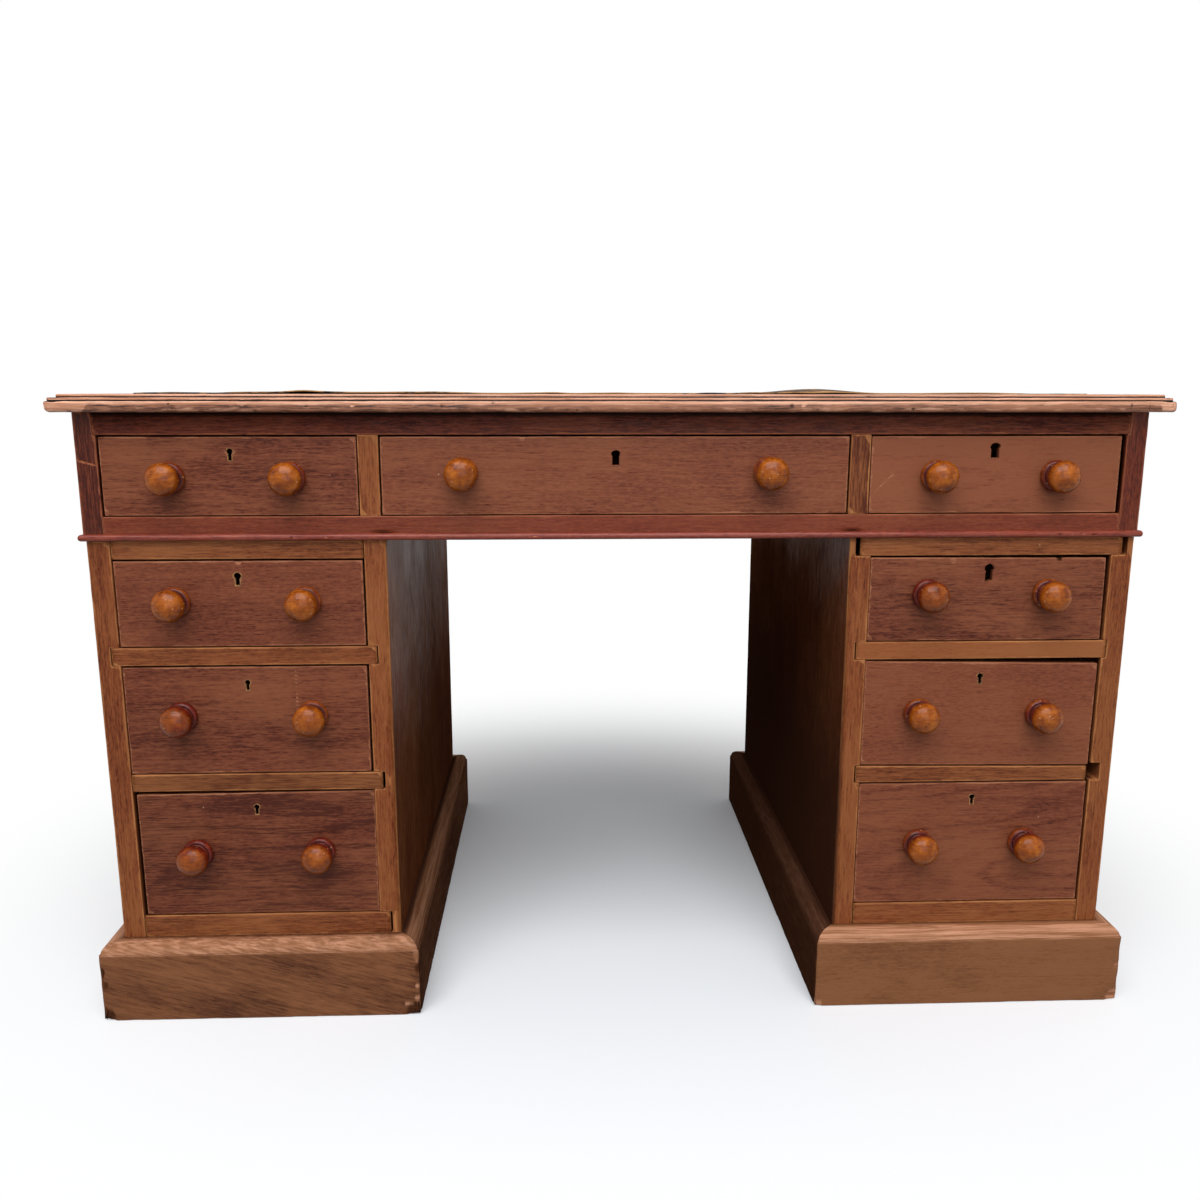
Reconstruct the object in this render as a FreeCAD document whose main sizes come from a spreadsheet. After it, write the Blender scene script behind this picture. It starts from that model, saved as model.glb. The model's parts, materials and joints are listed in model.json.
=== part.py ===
import FreeCAD, Part
import math
import os
from types import SimpleNamespace

import Sketcher

# A twin pedestal writing desk in three sections: a frieze section with the moulded top and
# three drawers rests on two pedestals of three drawers each, and every pedestal has a
# moulded plinth all round. X runs along the desk, Y from its front to its back, Z up.
# The origin is on the floor, in the middle of the desk and of its depth with the knobs.

doc = FreeCAD.newDocument("pedestal_desk")

# Driving dimensions, in millimetres
DRIVING = {
    # Whole desk
    "desk_width": 1276.0,
    "desk_depth": 686.0,
    "kneehole_width": 544.0,
    "pedestal_height": 596.0,
    "frieze_height": 146.0,
    # Table top: a rounded nose and two small steps above it
    "top_thickness": 20.0,
    "top_overhang": 22.0,
    "nose_height": 12.4,
    "nose_bottom_round": 4.5,
    "nose_top_round": 3.0,
    "step_rise": 3.8,
    "step_round": 1.2,
    "first_step_inset": 4.3,
    "second_step_inset": 11.8,
    "border_width": 60.0,
    "leather_thickness": 1.5,
    "leather_gap": 0.3,
    # Frieze section
    "end_thickness": 24.0,
    "partition_thickness": 23.5,
    "centre_bay_shift": 4.5,
    "frieze_top_rail": 25.5,
    "frieze_bottom_rail": 28.0,
    "frieze_lap": 3.0,
    "bead_height": 8.0,
    "bead_reach": 5.0,
    # Boards that both sections have
    "rail_depth": 64.0,
    "back_thickness": 12.0,
    "runner_width": 22.0,
    "runner_height": 16.0,
    # Pedestals
    "pedestal_setback": 2.0,
    "side_thickness": 26.0,
    "top_rail": 22.0,
    "middle_rail": 22.0,
    "bottom_rail": 28.0,
    "rail_lap": 12.0,
    "bottom_board": 12.0,
    # Plinths
    "plinth_height": 100.0,
    "plinth_reach": 24.0,
    "plinth_flat": 8.0,
    "plinth_drop": 12.0,
    "plinth_round": 14.0,
    "plinth_quirk": 1.5,
    # Drawers
    "front_thickness": 20.0,
    "front_recess": 1.0,
    "front_round": 1.2,
    "front_side_gap": 1.8,
    "front_top_gap": 2.0,
    "front_bottom_gap": 1.0,
    "running_gap": 0.3,
    "stop_width": 30.0,
    "stop_depth": 18.0,
    "stop_height": 6.0,
    "drawer_length": 590.0,
    "drawer_side": 11.0,
    "side_top_drop": 3.0,
    "drawer_back": 10.0,
    "back_top_drop": 6.0,
    "drawer_bottom": 7.0,
    "bottom_rise": 8.0,
    "groove_depth": 5.0,
    "tail_length": 13.0,
    # Knobs
    "knob_diameter": 38.0,
    "knob_reach": 38.0,
    "dome_seat": 14.0,
    "dome_widest": 24.0,
    "dome_seat_diameter": 27.0,
    "dome_edge_round": 12.0,
    "dome_crown_round": 20.0,
    "flange_foot_diameter": 34.0,
    "flange_height": 8.5,
    "flange_round": 6.8,
    "neck_diameter": 24.0,
    "stem_diameter": 13.0,
    "stem_gap": 0.1,
    "stem_past": 4.0,
    # Locks
    "lock_width": 52.0,
    "lock_height": 40.0,
    "lock_depth": 9.0,
    "lock_wall": 2.0,
    "lock_plate_width": 66.0,
    "lock_plate_depth": 12.0,
    "lock_plate_thickness": 2.0,
    "bolt_width": 24.0,
    "bolt_height": 14.0,
    "bolt_gap": 0.3,
    "bolt_throw": 8.0,
    "mortise_room": 1.0,
    "key_drop": 21.0,
    "key_chamber_round": 6.5,
    "key_pin_diameter": 3.0,
    "keyhole_diameter": 5.6,
    "keyhole_slot": 3.0,
    "keyhole_length": 8.5,
    "rim_width": 1.1,
    "rim_depth": 3.0,
    "rim_gap": 0.05,
    # How far a cutting tool runs past what it cuts
    "overrun": 5.0,
}

# Drawer openings of a pedestal from the top down, as shares of the height between rails
OPENING_SHARES = (0.261, 0.336, 0.403)
# Dovetails: half widths of a tail at its root and at its end, as shares of the pitch
TAIL_ROOT_SHARE = 0.27
TAIL_END_SHARE = 0.36
# Where the dome of a knob turns from its edge to its crown, as a share of its radius
DOME_SHOULDER_SHARE = 0.8
# Where a drawer's two stops stand, as a share of the opening's width from its middle
STOP_SHARE = 0.25

# Spans between a drawer's knobs and their heights, as shares of its front's two sizes
KNOB_SPAN_SHARES = {
    "upper_left": 0.471,
    "upper_centre": 0.656,
    "upper_right": 0.480,
    "left_top": 0.527,
    "left_middle": 0.537,
    "left_bottom": 0.520,
    "right_top": 0.510,
    "right_middle": 0.527,
    "right_bottom": 0.465,
}
KNOB_HEIGHT_SHARES = {
    "upper_left": 0.483,
    "upper_centre": 0.536,
    "upper_right": 0.489,
    "left_top": 0.524,
    "left_middle": 0.542,
    "left_bottom": 0.515,
    "right_top": 0.568,
    "right_middle": 0.512,
    "right_bottom": 0.505,
}
# How far each drawer sits off the middle of its opening, as shares of the gap beside it
SIT_SHARES = {
    "upper_left": 0.2,
    "upper_centre": 0.0,
    "upper_right": -0.4,
    "left_top": -0.3,
    "left_middle": -0.5,
    "left_bottom": 0.6,
    "right_top": -0.7,
    "right_middle": -0.7,
    "right_bottom": -0.5,
}
# Drawers whose keyhole has a brass rim, and how many dovetails each row of sides has
RIMMED = ("upper_left", "left_top", "left_middle", "left_bottom", "right_middle", "right_bottom")
TAIL_COUNTS = {"upper": 3, "top": 3, "middle": 4, "bottom": 5}
PEDESTAL_ROWS = ("top", "middle", "bottom")

sheet = doc.addObject("Spreadsheet::Sheet", "Sizes")
for row, (alias, number) in enumerate(DRIVING.items(), start=1):
    sheet.set("A%d" % row, alias)
    sheet.set("B%d" % row, str(number))
    sheet.setAlias("B%d" % row, alias)
doc.recompute()


class Size:
    """A length worked out from the sheet: its number, and the expression that gives it."""

    def __init__(self, number, text):
        self.number = number
        self.text = text

    def __add__(self, other):
        return Size(self.number + other.number, "(%s + %s)" % (self.text, other.text))

    def __sub__(self, other):
        return Size(self.number - other.number, "(%s - %s)" % (self.text, other.text))

    def __neg__(self):
        return Size(-self.number, "(0 - %s)" % self.text)

    def __mul__(self, share):
        return Size(self.number * share, "(%s * %r)" % (self.text, share))

    def __truediv__(self, count):
        return Size(self.number / count, "(%s / %r)" % (self.text, count))


ZERO = Size(0.0, "0")
S = SimpleNamespace(**{alias: Size(sheet.get(alias), "Sizes." + alias) for alias in DRIVING})

# Places that several pieces share
case_width = S.desk_width - S.top_overhang * 2
case_depth = S.desk_depth - S.top_overhang * 2
case_top = S.pedestal_height + S.frieze_height
desk_height = case_top + S.top_thickness
case_front = (S.knob_reach - S.front_recess - case_depth - S.top_overhang) / 2
case_back = case_front + case_depth
bay_ceiling = case_top - S.frieze_top_rail
bay_floor = S.pedestal_height + S.frieze_bottom_rail
bay_height = bay_ceiling - bay_floor
partition_reach = S.kneehole_width / 2 + S.partition_thickness
end_reach = case_width / 2 - S.end_thickness

pedestal_width = (case_width - S.pedestal_setback * 2 - S.kneehole_width) / 2
pedestal_depth = case_depth - S.pedestal_setback * 2
pedestal_front = case_front + S.pedestal_setback
pedestal_back = pedestal_front + pedestal_depth
pedestal_centre = (S.kneehole_width + pedestal_width) / 2
opening_width = pedestal_width - S.side_thickness * 2
rails_height = S.top_rail + S.middle_rail * 2 + S.bottom_rail
openings_height = S.pedestal_height - S.plinth_height - rails_height

bolt_depth = S.lock_depth - S.lock_wall * 2
bolt_front = S.front_thickness - S.lock_depth + S.lock_wall
mortise_depth = S.bolt_throw - S.front_top_gap + S.mortise_room

nodes = {}


def keep(label, piece):
    """Names a finished sub-part."""
    piece.Label = label
    nodes[label] = piece
    return piece


def place(piece, x, y, z, turn=0.0):
    """Puts a piece at a point, turned about Z by a number of degrees."""
    spin = FreeCAD.Rotation(FreeCAD.Vector(0, 0, 1), turn)
    piece.Placement = FreeCAD.Placement(FreeCAD.Vector(x.number, y.number, z.number), spin)
    for axis, length in zip("xyz", (x, y, z)):
        piece.setExpression("Placement.Base." + axis, length.text)
    return piece


def plank(name, x_range, y_range, z_range):
    """A plain board, given by where it starts and ends along each axis."""
    board = doc.addObject("Part::Box", name)
    for side, (low, high) in zip(("Length", "Width", "Height"), (x_range, y_range, z_range)):
        board.setExpression(side, (high - low).text)
    return place(board, x_range[0], y_range[0], z_range[0])


def group(name, pieces):
    """Several separate solids that are one sub-part."""
    compound = doc.addObject("Part::Compound", name)
    compound.Links = pieces
    return compound


def cut(name, board, tools):
    """A board with one or more planks' room cut out of it."""
    trimmed = doc.addObject("Part::Cut", name)
    trimmed.Base = board
    trimmed.Tool = tools[0] if len(tools) == 1 else group(name + "_tools", tools)
    return trimmed


def new_body(name):
    return doc.addObject("PartDesign::Body", name)


def new_sketch(body, role, offset=None):
    """A sketch on one of the body's own planes, moved along its normal by an offset."""
    drawing = body.newObject("Sketcher::SketchObject", body.Name + "_sketch")
    plane = [datum for datum in body.Origin.OriginFeatures if datum.Role == role][0]
    drawing.AttachmentSupport = [(plane, "")]
    drawing.MapMode = "FlatFace"
    if offset is not None:
        drawing.setExpression("AttachmentOffset.Base.z", offset.text)
    return drawing


def tie(drawing, kind, refs, length):
    """A dimension of the sketch, bound to the sheet."""
    index = drawing.addConstraint(Sketcher.Constraint(kind, *refs, length.number))
    if length.text != "0":
        name = "d%d" % index
        drawing.renameConstraint(index, name)
        drawing.setExpression("Constraints." + name, length.text)


def bent_edge(start, end, radius, side):
    """An arc from start to end that bulges to the left (1) or right (-1) of the way."""
    chord = end - start
    middle = (start + end) * 0.5
    drop = math.sqrt(max(radius ** 2 - (chord.Length / 2) ** 2, 0.0))
    left = FreeCAD.Vector(-chord.y, chord.x, 0).normalize()
    centre = middle - left * (drop * side)
    circle = Part.Circle(centre, FreeCAD.Vector(0, 0, 1), radius)
    first, last = (end, start) if side > 0 else (start, end)
    angles = [math.atan2(p.y - centre.y, p.x - centre.x) for p in (first, last)]
    return Part.ArcOfCircle(circle, *angles)


def outline(drawing, corners):
    """A closed outline. A corner is (across, up), or (across, up, radius, side) where an
    arc leads to the next corner."""
    base = drawing.GeometryCount
    points = [FreeCAD.Vector(c[0].number, c[1].number, 0) for c in corners]
    ends = []
    for index, corner in enumerate(corners):
        start, end = points[index], points[(index + 1) % len(points)]
        if len(corner) == 2:
            drawing.addGeometry(Part.LineSegment(start, end))
            ends.append((1, 2))
        else:
            drawing.addGeometry(bent_edge(start, end, corner[2].number, corner[3]))
            ends.append((2, 1) if corner[3] > 0 else (1, 2))
    for index, corner in enumerate(corners):
        after = (index + 1) % len(corners)
        joined = (base + index, ends[index][1], base + after, ends[after][0])
        drawing.addConstraint(Sketcher.Constraint("Coincident", *joined))
        tie(drawing, "DistanceX", (-1, 1, base + index, ends[index][0]), corner[0])
        tie(drawing, "DistanceY", (-1, 1, base + index, ends[index][0]), corner[1])
        if len(corner) > 2:
            tie(drawing, "Radius", (base + index,), corner[2])


def rectangle(drawing, low_x, low_y, high_x, high_y):
    outline(drawing, [(low_x, low_y), (high_x, low_y), (high_x, high_y), (low_x, high_y)])


def ring(drawing, across, up, radius):
    """A circle about a point."""
    base = drawing.GeometryCount
    centre = FreeCAD.Vector(across.number, up.number, 0)
    drawing.addGeometry(Part.Circle(centre, FreeCAD.Vector(0, 0, 1), radius.number))
    tie(drawing, "DistanceX", (-1, 1, base, 3), across)
    tie(drawing, "DistanceY", (-1, 1, base, 3), up)
    tie(drawing, "Radius", (base,), radius)


def pad(body, drawing, length, reverse=False):
    feature = body.newObject("PartDesign::Pad", body.Name + "_pad")
    feature.Profile = drawing
    feature.setExpression("Length", length.text)
    feature.Reversed = reverse
    return feature


def pocket(body, drawing, length, reverse=False):
    feature = body.newObject("PartDesign::Pocket", body.Name + "_pocket")
    feature.Profile = drawing
    feature.setExpression("Length", length.text)
    feature.Reversed = reverse
    return feature


def round_edges(body, feature, radius, wanted):
    """Rounds the edges of the last feature that the test wanted(edge) picks."""
    doc.recompute()
    names = []
    for index, edge in enumerate(feature.Shape.Edges, start=1):
        if wanted(edge):
            names.append("Edge%d" % index)
    fillet = body.newObject("PartDesign::Fillet", body.Name + "_fillet")
    fillet.Base = (feature, names)
    fillet.setExpression("Radius", radius.text)
    return fillet


def lies_at(edge, axis, place_size):
    """True where the whole edge has one place along an axis."""
    box = edge.BoundBox
    low = getattr(box, axis + "Min")
    high = getattr(box, axis + "Max")
    return max(abs(low - place_size.number), abs(high - place_size.number)) < 1e-4


# Table top

def table_top():
    """One slab with a rounded nose, two steps inside it and a recess for the leather."""
    body = new_body("table_top_body")
    step_tops = (S.nose_height, S.nose_height + S.step_rise, S.top_thickness)
    insets = (ZERO, S.first_step_inset, S.second_step_inset)
    floor = ZERO
    for inset, height in zip(insets, step_tops):
        half_x = S.desk_width / 2 - inset
        half_y = S.desk_depth / 2 - inset
        drawing = new_sketch(body, "XY_Plane", floor)
        rectangle(drawing, -half_x, -half_y, half_x, half_y)
        slab = pad(body, drawing, height - floor)
        if floor is ZERO:
            bottom = round_edges(body, slab, S.nose_bottom_round, lambda e: lies_at(e, "Z", ZERO))
            round_edges(body, bottom, S.nose_top_round, lambda e: lies_at(e, "Z", step_tops[0]))
        else:
            top = height
            round_edges(body, slab, S.step_round, lambda e: lies_at(e, "Z", top))
        floor = height
    half_x = S.desk_width / 2 - S.second_step_inset - S.border_width
    half_y = S.desk_depth / 2 - S.second_step_inset - S.border_width
    recess = new_sketch(body, "XY_Plane", S.top_thickness)
    rectangle(recess, -half_x, -half_y, half_x, half_y)
    pocket(body, recess, S.leather_thickness)
    place(body, ZERO, case_front + case_depth / 2, case_top)
    keep("table_top", body)
    leather_x = half_x - S.leather_gap
    leather_y = half_y - S.leather_gap
    middle = case_front + case_depth / 2
    leather = plank("leather", (-leather_x, leather_x), (middle - leather_y, middle + leather_y),
                    (desk_height - S.leather_thickness, desk_height))
    keep("writing_leather", leather)


# Mouldings with mitred corners

def mitred_strip(name, profile, length, reach):
    """A moulding along X, its outer side towards -Y, with both ends mitred.
    The length is measured along the face that it is fixed to."""
    body = new_body(name)
    full = length + reach * 2
    drawing = new_sketch(body, "YZ_Plane", -full / 2)
    outline(drawing, profile)
    pad(body, drawing, full)
    mitres = new_sketch(body, "XY_Plane", -S.overrun)
    for hand in (-1, 1):
        inner = (length / 2 - S.overrun) * hand
        outer = (length / 2 + reach + S.overrun) * hand
        corners = [(inner, S.overrun), (outer, S.overrun), (outer, -reach - S.overrun)]
        outline(mitres, corners)
    pocket(body, mitres, S.plinth_height + S.overrun * 2, reverse=True)
    return body


def moulding_round(label, profile, centre, width, depth, front, low, reach):
    """Four mitred strips round a box, as one sub-part."""
    middle = front + depth / 2
    places = (
        ("front", width, centre, front, 0.0),
        ("back", width, centre, front + depth, 180.0),
        ("left", depth, centre - width / 2, middle, -90.0),
        ("right", depth, centre + width / 2, middle, 90.0),
    )
    strips = []
    for where, length, x, y, turn in places:
        strip = mitred_strip(label + "_" + where, profile, length, reach)
        strips.append(place(strip, x, y, low, turn))
    keep(label, group(label + "_group", strips))


def bead_moulding():
    """The half round bead along the foot of the frieze section."""
    radius = S.bead_height / 2
    flat = radius - S.bead_reach
    profile = [
        (ZERO, ZERO),
        (ZERO, S.bead_height),
        (flat, S.bead_height, radius, -1),
        (-S.bead_reach, radius, radius, -1),
        (flat, ZERO),
    ]
    moulding_round("bead_moulding", profile, ZERO, case_width, case_depth, case_front,
                   S.pedestal_height, S.bead_reach)


def plinth(hand, name):
    """Four boards round the foot of a pedestal, with a rounded and quirked top edge."""
    shoulder = S.plinth_height - S.plinth_drop
    profile = [
        (ZERO, ZERO),
        (ZERO, S.plinth_height),
        (-S.plinth_flat, S.plinth_height, S.plinth_round, -1),
        (S.plinth_quirk - S.plinth_reach, shoulder),
        (-S.plinth_reach, shoulder),
        (-S.plinth_reach, ZERO),
    ]
    moulding_round(name + "_plinth", profile, pedestal_centre * hand, pedestal_width,
                   pedestal_depth, pedestal_front, ZERO, S.plinth_reach)


# Frieze section

def mortise(name, centre, face, ceiling):
    """The room for a lock's bolt in the rail above it, behind the section's front face."""
    half = S.bolt_width / 2 + S.bolt_gap
    front = face + S.front_recess + bolt_front
    return plank(name, (centre - half, centre + half), (front, front + bolt_depth),
                 (ceiling - S.overrun, ceiling + mortise_depth))


def drawer_centre(name, bay_centre):
    """Where the middle of a drawer stands in its opening."""
    return bay_centre + S.front_side_gap * SIT_SHARES[name]


def drawer_stops(name, bay_centre, bay_width, face, floor):
    """The two blocks behind a drawer's front that stop it flush with the case."""
    back = face + S.front_recess + S.front_thickness
    blocks = []
    for hand, side in ((-1, "l"), (1, "r")):
        start = bay_centre + bay_width * (STOP_SHARE * hand) - S.stop_width / 2
        blocks.append(plank("%s_stop_%s" % (name, side), (start, start + S.stop_width),
                            (back, back + S.stop_depth), (floor, floor + S.stop_height)))
    return blocks


def frieze_bays():
    """Centre and width of the three openings, from left to right."""
    left_edge = -partition_reach - S.centre_bay_shift
    right_edge = partition_reach - S.centre_bay_shift
    return {
        "upper_left": ((left_edge - end_reach) / 2, end_reach + left_edge),
        "upper_centre": (-S.centre_bay_shift, S.kneehole_width),
        "upper_right": ((right_edge + end_reach) / 2, end_reach - right_edge),
    }


def frieze_section():
    """Ends, back, rails, partitions and the runners between them."""
    behind_rail = (case_front + S.rail_depth, case_back - S.back_thickness)
    rail_room = (case_front, case_front + S.rail_depth)
    full = (S.pedestal_height, case_top)
    lapped = end_reach + S.frieze_lap

    pieces = []
    for hand, side in ((-1, "left"), (1, "right")):
        span = sorted((end_reach * hand, case_width / 2 * hand), key=lambda size: size.number)
        board = plank("end_board_" + side, span, (case_front, case_back), full)
        housing = plank("end_housing_" + side, (-lapped, lapped),
                        (case_front - S.overrun, rail_room[1]),
                        (bay_ceiling, case_top + S.overrun))
        pieces.append(cut("end_" + side, board, [housing]))
    pieces.append(plank("case_back", (-end_reach, end_reach),
                        (case_back - S.back_thickness, case_back), full))
    keep("frieze_carcase", group("frieze_carcase_group", pieces))

    bays = frieze_bays()
    top = plank("top_rail", (-lapped, lapped), rail_room, (bay_ceiling, case_top))
    rooms = []
    rails = [plank("bottom_rail", (-end_reach, end_reach), rail_room,
                   (S.pedestal_height, bay_floor))]
    for bay, (centre, width) in bays.items():
        middle = drawer_centre(bay, centre)
        rooms.append(mortise("mortise_" + bay, middle, case_front, bay_ceiling))
        rails += drawer_stops(bay, centre, width, case_front, bay_floor)
    rails.append(cut("top_rail_cut", top, rooms))
    keep("frieze_rails", group("frieze_rails_group", rails))

    partitions = []
    for hand, side in ((-1, "left"), (1, "right")):
        body = new_body("partition_" + side)
        drawing = new_sketch(body, "YZ_Plane")
        foot = S.frieze_bottom_rail
        head = S.frieze_height - S.frieze_top_rail
        rear = case_depth - S.back_thickness
        outline(drawing, [(ZERO, foot), (S.rail_depth, foot), (S.rail_depth, ZERO), (rear, ZERO),
                          (rear, S.frieze_height), (S.rail_depth, S.frieze_height),
                          (S.rail_depth, head), (ZERO, head)])
        pad(body, drawing, S.partition_thickness)
        start = -partition_reach if hand < 0 else partition_reach - S.partition_thickness
        place(body, start - S.centre_bay_shift, case_front, S.pedestal_height)
        partitions.append(body)
    keep("frieze_partitions", group("frieze_partitions_group", partitions))

    strips = []
    for bay, (centre, width) in bays.items():
        low, high = centre - width / 2, centre + width / 2
        for side, span in (("l", (low, low + S.runner_width)), ("r", (high - S.runner_width, high))):
            strips.append(plank("runner_%s_%s" % (bay, side), span, behind_rail,
                                (bay_floor - S.runner_height, bay_floor)))
            strips.append(plank("kicker_%s_%s" % (bay, side), span, behind_rail,
                                (bay_ceiling, bay_ceiling + S.runner_height)))
    keep("frieze_runners", group("frieze_runners_group", strips))
    return bays


# Pedestals

def pedestal_levels():
    """Floor and ceiling of a pedestal's three openings, from the top down."""
    levels = []
    ceiling = S.pedestal_height - S.top_rail
    for share in OPENING_SHARES:
        floor = ceiling - openings_height * share
        levels.append((floor, ceiling))
        ceiling = floor - S.middle_rail
    return levels


def pedestal_side(name, levels, inner):
    """A side board from floor to top, housed on its inner face for the rails' ends."""
    body = new_body(name)
    outline_sketch = new_sketch(body, "YZ_Plane")
    rectangle(outline_sketch, ZERO, ZERO, pedestal_depth, S.pedestal_height)
    pad(body, outline_sketch, S.side_thickness)
    face = S.side_thickness if inner > 0 else ZERO
    housings = new_sketch(body, "YZ_Plane", face)
    top = S.pedestal_height + S.overrun
    for floor, ceiling in levels:
        rectangle(housings, -S.overrun, ceiling, S.rail_depth, top)
        top = floor
    rectangle(housings, -S.overrun, S.plinth_height, S.rail_depth, top)
    pocket(body, housings, S.rail_lap, reverse=inner < 0)
    return body


def pedestal(hand, name):
    """Sides, back, bottom board, rails, runners and plinth of one pedestal."""
    centre = pedestal_centre * hand
    levels = pedestal_levels()
    half = pedestal_width / 2
    inner = opening_width / 2
    inside = (pedestal_front + S.rail_depth, pedestal_back - S.back_thickness)
    rail_room = (pedestal_front, pedestal_front + S.rail_depth)

    left = pedestal_side(name + "_side_l", levels, 1)
    right = pedestal_side(name + "_side_r", levels, -1)
    place(left, centre - half, pedestal_front, ZERO)
    place(right, centre + inner, pedestal_front, ZERO)
    keep(name + "_pedestal_sides", group(name + "_sides", [left, right]))

    between = (centre - inner, centre + inner)
    back = plank(name + "_back", between, (pedestal_back - S.back_thickness, pedestal_back),
                 (S.plinth_height - S.bottom_board, S.pedestal_height))
    bottom = plank(name + "_bottom", between, inside,
                   (S.plinth_height, S.plinth_height + S.bottom_board))
    keep(name + "_pedestal_boards", group(name + "_boards", [back, bottom]))

    lapped = (centre - inner - S.rail_lap, centre + inner + S.rail_lap)
    pieces = []
    top = S.pedestal_height
    for index, (floor, ceiling) in enumerate(levels, start=1):
        title = name + "_" + PEDESTAL_ROWS[index - 1]
        rail = plank("%s_rail_%d" % (name, index), lapped, rail_room, (ceiling, top))
        room = mortise("%s_mortise_%d" % (name, index), drawer_centre(title, centre),
                       pedestal_front, ceiling)
        pieces += drawer_stops(title, centre, opening_width, pedestal_front, floor)
        pieces.append(cut("%s_rail_cut_%d" % (name, index), rail, [room]))
        for side, start in (("l", -inner), ("r", inner - S.runner_width)):
            span = (centre + start, centre + start + S.runner_width)
            pieces.append(plank("%s_runner_%d%s" % (name, index, side), span, inside,
                                (floor - S.runner_height, floor)))
        top = floor
    pieces.append(plank(name + "_rail_bottom", lapped, rail_room, (S.plinth_height, top)))
    rear = (inside[1] - S.rail_depth, inside[1])
    pieces.append(plank(name + "_rail_rear", between, rear, (levels[0][1], S.pedestal_height)))
    for side, start in (("l", -inner), ("r", inner - S.runner_width)):
        span = (centre + start, centre + start + S.runner_width)
        pieces.append(plank("%s_kicker_%s" % (name, side), span, (rail_room[1], rear[0]),
                            (levels[0][1], levels[0][1] + S.runner_height)))
    keep(name + "_pedestal_rails", group(name + "_rails", pieces))
    plinth(hand, name)
    return centre, levels


# Drawers. Each has its own frame: X from the middle of its front, Y from the front's face
# to the back, Z from the front's lower edge.

def keyhole(drawing, top, spread):
    """A keyhole outline below the drawer's top edge, wider all round by a spread."""
    radius = S.keyhole_diameter / 2 + spread
    half = S.keyhole_slot / 2 + spread
    centre = top - S.key_drop
    foot = centre - S.keyhole_length - spread
    rise = math.sqrt(radius.number ** 2 - half.number ** 2)
    neck = centre - radius * (rise / radius.number)
    outline(drawing, [(-half, foot), (half, foot), (half, neck, radius, -1),
                      (ZERO, centre + radius, radius, -1), (-half, neck)])


def tails(height, count):
    """Outlines of a side's dovetails as (root low, root high, end low, end high)."""
    pitch = height / count
    spans = []
    for index in range(count):
        middle = pitch * (index + 0.5)
        root = pitch * TAIL_ROOT_SHARE
        end = pitch * TAIL_END_SHARE
        spans.append((middle - root, middle + root, middle - end, middle + end))
    return spans


def drawer_front(name, width, height, side_height, tail_spans, knob_x, knob_z, rimmed):
    """The front: dovetail sockets, a groove, a lock's recess, a keyhole and stem holes."""
    body = new_body(name + "_front")
    face = new_sketch(body, "XZ_Plane")
    rectangle(face, -width / 2, ZERO, width / 2, height)
    board = pad(body, face, S.front_thickness, reverse=True)
    round_edges(body, board, S.front_round, lambda edge: lies_at(edge, "Y", ZERO))

    sockets = new_sketch(body, "YZ_Plane", width / 2)
    root = S.front_thickness
    end = S.front_thickness - S.tail_length
    lift = S.running_gap - S.front_bottom_gap
    past = root + S.overrun
    for low, high, end_low, end_high in tail_spans:
        outline(sockets, [(end, end_low + lift), (root, low + lift), (past, low + lift),
                          (past, high + lift), (root, high + lift), (end, end_high + lift)])
    socket = pocket(body, sockets, S.drawer_side)
    other = body.newObject("PartDesign::Mirrored", name + "_sockets_mirrored")
    other.Originals = [socket]
    plane = [datum for datum in body.Origin.OriginFeatures if datum.Role == "YZ_Plane"][0]
    other.MirrorPlane = (plane, [""])
    body.Tip = other

    groove = new_sketch(body, "XZ_Plane", -S.front_thickness)
    reach = width / 2 - S.drawer_side + S.groove_depth
    floor = S.bottom_rise + lift
    rectangle(groove, -reach, floor, reach, floor + S.drawer_bottom)
    pocket(body, groove, S.groove_depth, reverse=True)

    recess = new_sketch(body, "XZ_Plane", -S.front_thickness)
    half = S.lock_width / 2
    rectangle(recess, -half, height - S.lock_height, half, height + S.overrun)
    pocket(body, recess, S.lock_depth, reverse=True)
    seat = new_sketch(body, "XZ_Plane", -S.front_thickness)
    half = S.lock_plate_width / 2
    rectangle(seat, -half, height - S.lock_plate_thickness, half, height + S.overrun)
    pocket(body, seat, S.lock_plate_depth, reverse=True)

    hole = new_sketch(body, "XZ_Plane")
    keyhole(hole, height, ZERO)
    pocket(body, hole, S.front_thickness)
    if rimmed:
        wide = new_sketch(body, "XZ_Plane")
        keyhole(wide, height, S.rim_width)
        pocket(body, wide, S.rim_depth)

    stems = new_sketch(body, "XZ_Plane")
    for hand in (-1, 1):
        ring(stems, knob_x * hand, knob_z, S.stem_diameter / 2 + S.stem_gap)
    pocket(body, stems, S.front_thickness)
    return body


def drawer_side(name, height, tail_spans, hand):
    """A side with its dovetails in front and a groove for the bottom on its inner face."""
    body = new_body(name)
    root = S.front_thickness
    end = S.front_thickness - S.tail_length
    corners = [(S.drawer_length, ZERO), (S.drawer_length, height), (root, height)]
    for low, high, end_low, end_high in reversed(tail_spans):
        corners += [(root, high), (end, end_high), (end, end_low), (root, low)]
    corners.append((root, ZERO))
    board = new_sketch(body, "YZ_Plane")
    outline(board, corners)
    pad(body, board, S.drawer_side)
    groove = new_sketch(body, "YZ_Plane", S.drawer_side if hand < 0 else ZERO)
    rectangle(groove, root - S.groove_depth, S.bottom_rise, S.drawer_length + S.overrun,
              S.bottom_rise + S.drawer_bottom)
    pocket(body, groove, S.groove_depth, reverse=hand > 0)
    return body


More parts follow.
